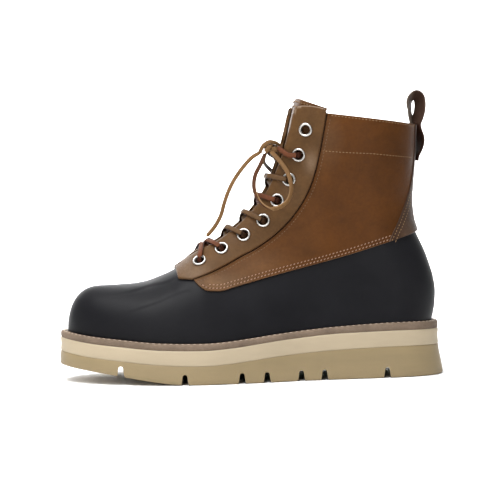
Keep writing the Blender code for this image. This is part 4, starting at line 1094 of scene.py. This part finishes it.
OUTSOLE_TOP = layer(3, -0.03)
SOLE_PIECES = (
    # name, finish, slot, node, closed, then its rings: inset, heel, height
    ("outsole_rubber", "outsole", "gum_rubber", "outsole", True, (
        (1.6, 2.3, ground()), (0.5, 3.3, ground(0.35)), (0.0, 3.6, ground(1.2)),
        (0.1, 2.7, between(ground(), OUTSOLE_TOP, 0.3)), (0.1, 1.62, between(ground(), OUTSOLE_TOP, 0.55)),
        (0.3, 0.36, between(ground(), OUTSOLE_TOP, 0.8)), (0.5, 0.0, layer(3, -0.9)),
        (0.65, -0.15, layer(3, -0.3)), (0.95, -0.45, OUTSOLE_TOP),
    )),
    ("midsole_foam", "midsole", "cream_foam", "midsole", True, (
        (0.95, -0.45, layer(3)), (0.65, -0.15, layer(3, 0.3)), (0.5, 0.0, layer(3, 0.9)),
        (0.8, -0.4, between(layer(3), layer(2), 0.5)), (0.4, 0.0, layer(2, -1.5)),
        (0.7, -0.3, layer(2, -0.4)), (1.2, -0.8, layer(2, -0.03)),
    )),
    ("welt_strip", "welt", "welt_leather", "welt", False, (
        (1.2, -0.8, layer(2)), (0.8, -0.4, layer(2, 0.5)), (0.6, -0.2, between(layer(2), layer(1), 0.5)),
        (0.9, -0.5, layer(1, -0.8)), (1.5, -1.1, layer(1, -0.15)), (2.4, -2.0, layer(1)),
        (3.1, -2.7, layer(1, -0.35)), (3.8, -3.4, layer(1)), (10.2, -9.4, layer(1)), (10.2, -9.4, layer(2)),
    )),
    ("footbed", "footbed", "footbed", "insole", True, (
        (11.2, -10.0, layer(2, GAP)), (11.2, -10.0, layer(1, 3.0)),
        (11.7, -10.5, layer(1, 3.8)), (12.7, -11.5, layer(1, 4.0)),
    )),
)
GROOVE_CENTRES = (-107.0, -55.3, -8.9, 11.5, 39.5, 58.5, 110.0)
GROOVE_SIDE = ((4.4, -3.0), (3.3, 0.1), (2.7, 1.2), (2.2, 4.0))
GROOVE_RADIUS = 1.9


def make_sole():
    for name, finish, slot, node, closed, rows in SOLE_PIECES:
        piece = add(name, layer_mesh(name, [ring_of(*row) for row in rows], closed), finish, slot, (node,))
        if node == "outsole":
            cut_grooves(piece)


def cut_grooves(item):
    """Cross grooves with sloping sides and a rounded top, cut at once with one cutter mesh."""
    meshes = []
    for centre in GROOVE_CENTRES:
        low = float(curve_at(GROUND, centre)[1])
        lean = math.tan(math.atan2(centre + 140.0, 1590.0))
        profile = [(-x, low + z) for x, z in GROOVE_SIDE]
        for angle in np.linspace(math.pi, 0.0, 9):
            profile.append((GROOVE_RADIUS * math.cos(angle), low + 6.5 + GROOVE_RADIUS * math.sin(angle)))
        profile += [(x, low + z) for x, z in GROOVE_SIDE[::-1]]
        points = [(centre + px + y * lean, y, pz) for y in (-75.0, 75.0) for px, pz in profile]
        size = len(profile)
        faces = [tuple(range(size))[::-1], tuple(range(size, 2 * size))]
        faces += [(i, (i + 1) % size, size + (i + 1) % size, size + i) for i in range(size)]
        meshes.append(mesh_of("groove", points, faces))
    cut(item, "grooves", meshes)
    item.data.shade_smooth()
    item.data.set_sharp_from_angle(angle=math.radians(40))


make_sole()


# Pull loop, eyelets and laces


LOOP_WIDTH = 12.0
LOOP_TURN = (
    # place along the path, how far the strap turns its flat side to the camera
    (1.0, 0.0), (2.5, 0.42), (4.5, 0.34), (8.0, 0.8), (10.5, 0.75), (13.0, 0.45), (17.0, 0.15),
)
LOOP_SHIFT = (
    # place along the path, shift to the front
    (0.0, -0.6), (1.5, -2.0), (3.0, -2.0), (4.5, -1.3), (6.0, 1.0), (8.0, 2.9), (10.5, 2.4), (13.0, 1.8), (17.0, 0.5),
)
LOOP_SINK = ((3.5, 0.0), (5.0, 1.2), (6.5, 1.2), (8.0, 0.0))


def make_pull_loop():
    path = curve_through([(x, 0.0, z) for x, z in LOOP_PATH], 1.2)
    along = unit(np.gradient(path, axis=0))
    reach = np.linspace(0, len(LOOP_PATH) - 1, len(path))
    turn, shift, sink = (np.interp(reach, *zip(*rows)) for rows in (LOOP_TURN, LOOP_SHIFT, LOOP_SINK))
    flats = np.stack([along[:, 2], -turn, -along[:, 0]], axis=1)
    path[:, 0] -= shift
    path[:, 2] -= sink
    mesh = ribbon_mesh("loop_strap", path, flats, LOOP_WIDTH, bevel=0.35, sides=20)
    mesh.set_sharp_from_angle(angle=math.radians(50))
    add("loop_strap", mesh, "loop", "loop_leather", ("pull_loop",), loop_shade_and_highlight)


def loop_shade_and_highlight(p):
    """Painted shade: a darker tail and rear strand; a lighter front strand, with a painted highlight along the near
    edge at the top.
    """
    tone = 0.72 - 0.50 * ease((204.0 - p[:, 2]) / 8.0) - 0.55 * ease((p[:, 0] - 131.5) / 3.0)
    return tone + 0.45 * ease((p[:, 0] - 141.0) / 1.5) * ease((p[:, 2] - 203.0) / 4.0)


def lathe(name, profile, steps=28):
    """A closed ring turned round Z from a profile of (radius, height)."""
    points, faces = [], []
    size = len(profile)
    for i in range(steps):
        angle = 2 * math.pi * i / steps
        points += [(r * math.cos(angle), r * math.sin(angle), z) for r, z in profile]
        for k in range(size):
            a, b, after = i * size, (i + 1) % steps * size, (k + 1) % size
            faces.append((a + k, b + k, b + after, a + after))
    return mesh_of(name, points, faces, angle=60)


EYELET_PROFILE = (
    (3.3, -2.5), (3.6, -2.5), (3.6, 0.1), (5.2, 0.1), (5.45, 0.35), (5.35, 0.75), (5.0, 1.05),
    (4.6, 1.15), (4.15, 1.0), (3.8, 0.6), (3.5, 0.0), (3.35, -0.8),
)
EYELET_HOLE = 3.9


def make_eyelets():
    """Rolled metal eyelets, each in a hole through its eyestay."""
    ring = lathe("eyelet", EYELET_PROFILE)
    bm = bmesh.new()
    bmesh.ops.create_cone(
        bm, cap_ends=True, segments=20, radius1=EYELET_HOLE * MM, radius2=EYELET_HOLE * MM, depth=14.0 * MM,
    )
    plug = bpy.data.meshes.new("hole")
    bm.to_mesh(plug)
    bm.free()
    for side, word in SIDES:
        holes = []
        for i, row in enumerate(EYELETS, 1):
            seat, normal = skin(*row, side, STAY_OUT)
            turn = Vector((0.0, 0.0, 1.0)).rotation_difference(Vector(normal))
            place = Matrix.Translation(Vector(seat) * MM) @ turn.to_matrix().to_4x4()
            mesh, hole = ring.copy(), plug.copy()
            mesh.transform(place)
            hole.transform(place)
            holes.append(hole)
            add(f"eyelet_ring_{word}_{i}", mesh, "nickel", "nickel", (f"eyelet_{word}_{i}",))
        cut(bpy.data.objects[f"eyestay_{word}"], "holes", holes, stay_tone)


def throat_tops():
    """The throat line at each eyelet: its x and z, and half its gap."""
    tops = []
    rows = RIB_ROWS[121:]
    for x, z in EYELETS:
        side = (x - rows[:, 2]) * (rows[:, 1] - rows[:, 3]) - (z - rows[:, 3]) * (rows[:, 0] - rows[:, 2])
        i = min(int(np.nonzero(side > 0)[0][-1]), len(side) - 2)
        rib = mix(rows[i], rows[i + 1], side[i] / (side[i] - side[i + 1]))
        tops.append(rib[[0, 1, 6]])
    return np.array(tops)


THROAT_TOPS = throat_tops()


def throat(level, side, across, height):
    """A place over the throat at a level, 1 at the lowest eyelet, and the throat's forward direction.

    across runs from 0 in the middle to 1 at the edge."""
    i = min(int(level), len(EYELETS) - 1) - 1
    low, high = THROAT_TOPS[i], THROAT_TOPS[i + 1]
    x, z, gap = mix(low, high, level - 1 - i)
    along = unit(high[:2] - low[:2])
    forward = np.array((-along[1], 0.0, along[0]))
    return np.array((x, side * (gap + 1.0) * across, z)) + forward * height, forward


STRAND_ROUTE = (
    # rise, part of the way across, height over the throat line
    (0.33, 0.94, 5.3), (0.41, 0.5, 5.0), (0.48, 0.0, 4.0), (0.60, -0.6, 1.8), (0.68, -1.0, 0.4),
)
TOP_ROUTE = ((0.94, 5.4), (0.5, 5.0), (0.0, 4.0))
TOP_LEVEL = 7
EDGE_RISE = 0.28
BAR_RISE = -0.1
# Painted shade on the bars: face lighter, edges and back darker.
BAR_SHADE = (0.62, 0.1, 0.2)
BROWN_BARS = (3, 4, 6)


def strand_start(level, side, climb):
    """A strand's first places and flats, from inside its eyelet over the stay."""
    row = EYELETS[level - 1]
    seat, normal = skin(*row, side, STAY_OUT)
    place, _ = throat(level + climb * EDGE_RISE, side, 0.0, 0.0)
    aim = unit(np.array((place[0] - row[0], 0.0, place[2] - row[1])))
    x, z = mix(row[0], place[0], 0.6), mix(row[1], place[2], 0.6)
    point, out = skin(x, z, side, STAY_OUT + 2.4)
    route = [seat - normal * 3.0 - aim * 1.0, seat - normal * 0.3, seat + normal * 2.4 + aim * 1.8, point]
    return route, [aim, aim * 0.8 + normal * 0.6, normal, out]


def add_strand(level, side, word, route, flats, finish, node):
    """A strand as a piece. The lateral one stands for the CAD's node."""
    name = f"lace_strand_{word}_{level}"
    points = curve_through(route, 1.4)
    mesh = ribbon_mesh(name, points, spread_over(len(points), flats), BAR_WIDTH, tones=BAR_SHADE)
    add(name, mesh, finish, "lace_rawhide", (node,) if side < 0 and node else ())


def make_lace_bars():
    """Two strands from each pair of eyelets, each over its stay's edge and under the other stay.

    Those of the lowest pair climb along the throat, the others sink. The top pair's meet at the knot."""
    for level in range(1, TOP_LEVEL):
        climb = 1 if level == 1 else -1
        for side, word in SIDES:
            lift = -side - (0.9 if level == 1 else 0.0)
            route, flats = strand_start(level, side, climb)
            for rise, across, height in STRAND_ROUTE:
                raised = height + (lift if abs(across) < 0.7 else 0.0)
                place, forward = throat(level + climb * rise, side, across, raised)
                route.append(place)
                flats.append(forward + np.array((0.0, side * 0.5 * across, 0.0)))
            finish = "bar_brown" if level in BROWN_BARS else "bar"
            add_strand(level, side, word, route, flats, finish, f"lace_cross_{level - 1}" if level > 1 else None)
    for side, word in SIDES:
        route, flats = strand_start(TOP_LEVEL, side, -1)
        for across, height in TOP_ROUTE:
            place, forward = throat(TOP_LEVEL + BAR_RISE, side, across, height)
            route.append(place)
            flats.append(forward)
        add_strand(TOP_LEVEL, side, word, route, flats, "bar", "lace_bar_top")


KNOT_SHIFT = (1.2, 0.0, 0.4)
KNOT_STRIPS = (
    # route from the knot's middle, flats
    (((-7.8, -2.0, -4.4), (-5.2, -4.4, 1.0), (-0.5, -4.8, 4.2), (5.0, -2.5, 3.4), (9.5, 1.5, 0.8)), (-0.2, -0.75, 0.6)),
    (((4.5, -6.0, -4.0), (1.6, -5.0, -1.2), (-1.2, 0.0, 0.4), (-2.5, 5.5, -1.5)), (-0.5, -0.7, 0.5)),
    (((-3.5, -6.0, -4.0), (-0.6, -6.2, -0.6), (1.2, -3.5, 2.0), (3.0, 3.0, 1.5)), (-0.2, -0.9, 0.3)),
    (((3.0, 6.0, -2.0), (4.0, 1.0, 0.2), (5.0, -3.5, -1.0), (5.0, -6.0, -3.5)), (0.5, -0.6, 0.6)),
    (((-4.5, 0.5, 0.6), (-1.0, -0.5, 1.0), (2.5, -0.5, 0.8), (6.5, 0.5, -0.6)), (-0.2, -0.9, 0.4)),
)


def make_knot():
    """The knot: short turns of lace over and under each other."""
    place = np.array(KNOT_PLACE) + KNOT_SHIFT
    meshes = []
    for route, flat in KNOT_STRIPS:
        points = curve_through(place + np.array(route), 1.0)
        flats = np.tile(flat, (len(points), 1))
        meshes.append(ribbon_mesh("turn", points, flats, LACE_WIDTH + 0.2, tones=BOW_LIGHT_AND_SHADE))
    add("knot", join_meshes("knot", meshes), "bow", "lace_rawhide", ("lace_knot",))


make_pull_loop()
make_eyelets()
make_lace_bars()
make_knot()


# Stitches


def stitch_mesh(points, normals, pitch, length=1.9, radius=0.30, lift=0.0, slant=0.0, phase=0.5):
    """Short rounded stitches along a line, each one bowed so that its ends sink in."""
    reach = lengths(points)
    count = int(reach[-1] // pitch)
    centres = (np.arange(count) + phase) * reach[-1] / max(count, 1)
    tangents = unit(np.gradient(points, axis=0))
    place, normal, along = (between_rows(centres, reach, rows) for rows in (points, normals, tangents))
    normal = unit(normal)
    across = unit(np.cross(normal, unit(along)))
    along = np.cross(across, normal)
    sides, rings = 6, 5
    places, faces = [], []
    for p, n, a, c in zip(place, normal, along, across):
        start = len(places)
        for t in np.linspace(-1.0, 1.0, rings):
            thick = radius * math.sqrt(max(1.0 - abs(t) ** 3, 0.12))
            centre = p + a * t * length / 2 + c * slant * t + n * (lift - radius * 0.8 * t * t)
            for angle in np.arange(sides) * 2 * math.pi / sides:
                places.append(centre + c * thick * math.cos(angle) + n * thick * math.sin(angle))
        for low in range(start, start + (rings - 1) * sides, sides):
            high = low + sides
            for k in range(sides):
                j = (k + 1) % sides
                faces.append((low + k, low + j, high + j, high + k))
    return mesh_of("row", places, faces, angle=80)


def offset_line(x, z, distance):
    """A side view line moved to its left by a distance."""
    line = np.stack([x, z], axis=1)
    along = unit(np.gradient(line, axis=0))
    return (line + np.stack([-along[:, 1], along[:, 0]], axis=1) * distance).T


THREADS = {
    # piece: finish, slot
    "stitches_lower": ("red_thread", "brown_leather"),
    "stitches_upper": ("gold_thread", "brown_leather"),
    "stitches_groove": ("brown_thread", "brown_leather"),
    "stitches_welt": ("welt_thread", "welt_leather"),
    # painted shade: dark marks for the shadow in the stitch holes
    "stitch_hole_shade": ("dark", "brown_leather"),
}
BAND_LINE = (
    # the collar band's stitches, from the backstay to the groove
    (129.3, 174.3), (126.0, 175.0), (106.0, 177.1), (94.5, 178.5), (72.0, 179.8), (54.4, 181.4),
)


def make_stitches():
    sewn = {name: [] for name in THREADS}

    def sew(name, line, side, out, pitch, *sizes, **more):
        """A row of stitches on the upper, along a line of the side view."""
        line = curve_through(np.stack(line, axis=1), 2.0)
        sewn[name].append(stitch_mesh(*skin(line[:, 0], line[:, 1], side, out), pitch, *sizes, **more))

    low = course_xz(0.0, np.linspace(1.0, -0.72, 60))
    groove = course_xz(np.linspace(0.25, LAST_COURSE - 0.2, 60), 1.0)
    band_x = mix(BAND_LINE[0][0], BAND_LINE[-1][0], np.linspace(0.02, 1.0, 30))[::-1]
    band_z = np.interp(band_x, *zip(*BAND_LINE[::-1]))
    collar_x, collar_z = course_xz(float(LAST_COURSE), np.linspace(0.97, 0.0, 30))
    edge = course_xz(np.linspace(0.3, LAST_COURSE - 4.0, 50), 0.0)
    for side, _ in SIDES:
        for skipped, distance in enumerate(LOW_STITCH_ROWS, 1):
            line = offset_line(*low, distance)[:, skipped:]
            sew("stitches_lower", line, side, QUARTER_OUT - 0.1, 2.9, 2.1, 0.46, slant=0.35)
            # Painted shade in the stitch holes, between the stitches.
            sew("stitch_hole_shade", line, side, QUARTER_OUT - 0.1, 2.9, 0.8, 0.42, lift=-0.12, phase=0.0)
        sew("stitches_groove", offset_line(*groove, -2.6), side, QUARTER_OUT, 2.6)
        sew("stitches_upper", (band_x, band_z), side, QUARTER_OUT, 2.7)
        sew("stitches_upper", (collar_x, collar_z - 1.6), side, QUARTER_OUT, 2.7)
        for distance in (-1.8, -4.6):
            sew("stitches_upper", offset_line(*edge, distance), side, BACKSTAY_OUT, 2.6)
    ring = ring_of(3.1, -2.7, layer(1, -0.1), 300)
    ring = np.vstack([ring, ring[:1]])
    sewn["stitches_welt"].append(stitch_mesh(ring, np.tile((0.0, 0.0, 1.0), (len(ring), 1)), 4.6, 3.6, 0.5))
    for line in tongue_lines:
        across = np.tile((-0.85, 0.0, 0.5), (len(line), 1))
        across[:, 1] = line[:, 1] * 0.06
        sewn["stitches_upper"].append(stitch_mesh(line + unit(across) * -2.7, across, 2.6, 1.8))
    for name, (finish, slot) in THREADS.items():
        add(name, join_meshes(name, sewn[name]), finish, slot)


make_stitches()


# Light and floor


WORLD_STRENGTH = 0.34
LAMPS = (
    # name, place in m, size, power, what it is aimed at
    ("top", (-0.35, -0.45, 1.5), 1.3, 46.0, (0.0, 0.0, 0.08)),
    ("front", (-0.7, -1.9, 0.8), 1.2, 12.0, (0.0, 0.0, 0.10)),
    ("backdrop_left", (-0.9, 1.0, 1.3), 0.8, 60.0, (-0.54, 2.4, 0.5)),
    ("backdrop_right", (0.9, 1.0, 1.3), 0.8, 60.0, (0.54, 2.4, 0.5)),
)


def make_stage():
    """A floor that curves up into a backdrop, and soft lamps."""
    rise = [(y, 0.0) for y in (-3.0, 0.0, 1.5)]
    rise += [(1.5 + 0.9 * math.sin(a), 0.9 - 0.9 * math.cos(a)) for a in np.linspace(0.1, math.pi / 2, 16)]
    rise += [(2.4, 2.0), (2.4, 4.0)]
    points = [(x, y, z) for y, z in rise for x in (-5.0, 5.0)]
    faces = [(2 * i, 2 * i + 1, 2 * i + 3, 2 * i + 2) for i in range(len(rise) - 1)]
    floor = new_object("floor", mesh_of("floor", np.array(points) / MM, faces))
    floor.location.z = -0.0002
    n = Nodes("floor")
    n.finish(n.ramp(n.noise(3.0), (0.3, 0.93), (0.7, 0.95)), 0.9, specular=0.1)
    floor.data.materials.append(n.material)
    world = bpy.data.worlds.new("studio")
    world.use_nodes = True
    world.node_tree.nodes["Background"].inputs["Color"].default_value = (1.0, 1.0, 1.0, 1.0)
    world.node_tree.nodes["Background"].inputs["Strength"].default_value = WORLD_STRENGTH
    bpy.context.scene.world = world
    for name, place, size, power, target in LAMPS:
        data = bpy.data.lights.new(name, "AREA")
        data.shape = "SQUARE"
        data.size = size
        data.energy = power
        aim = Vector(target) - Vector(place)
        turned = aim.to_track_quat("-Z", "Y").to_matrix().to_4x4()
        new_object(name, data).matrix_world = Matrix.Translation(place) @ turned
    bpy.context.scene.view_settings.view_transform = "Standard"


make_stage()
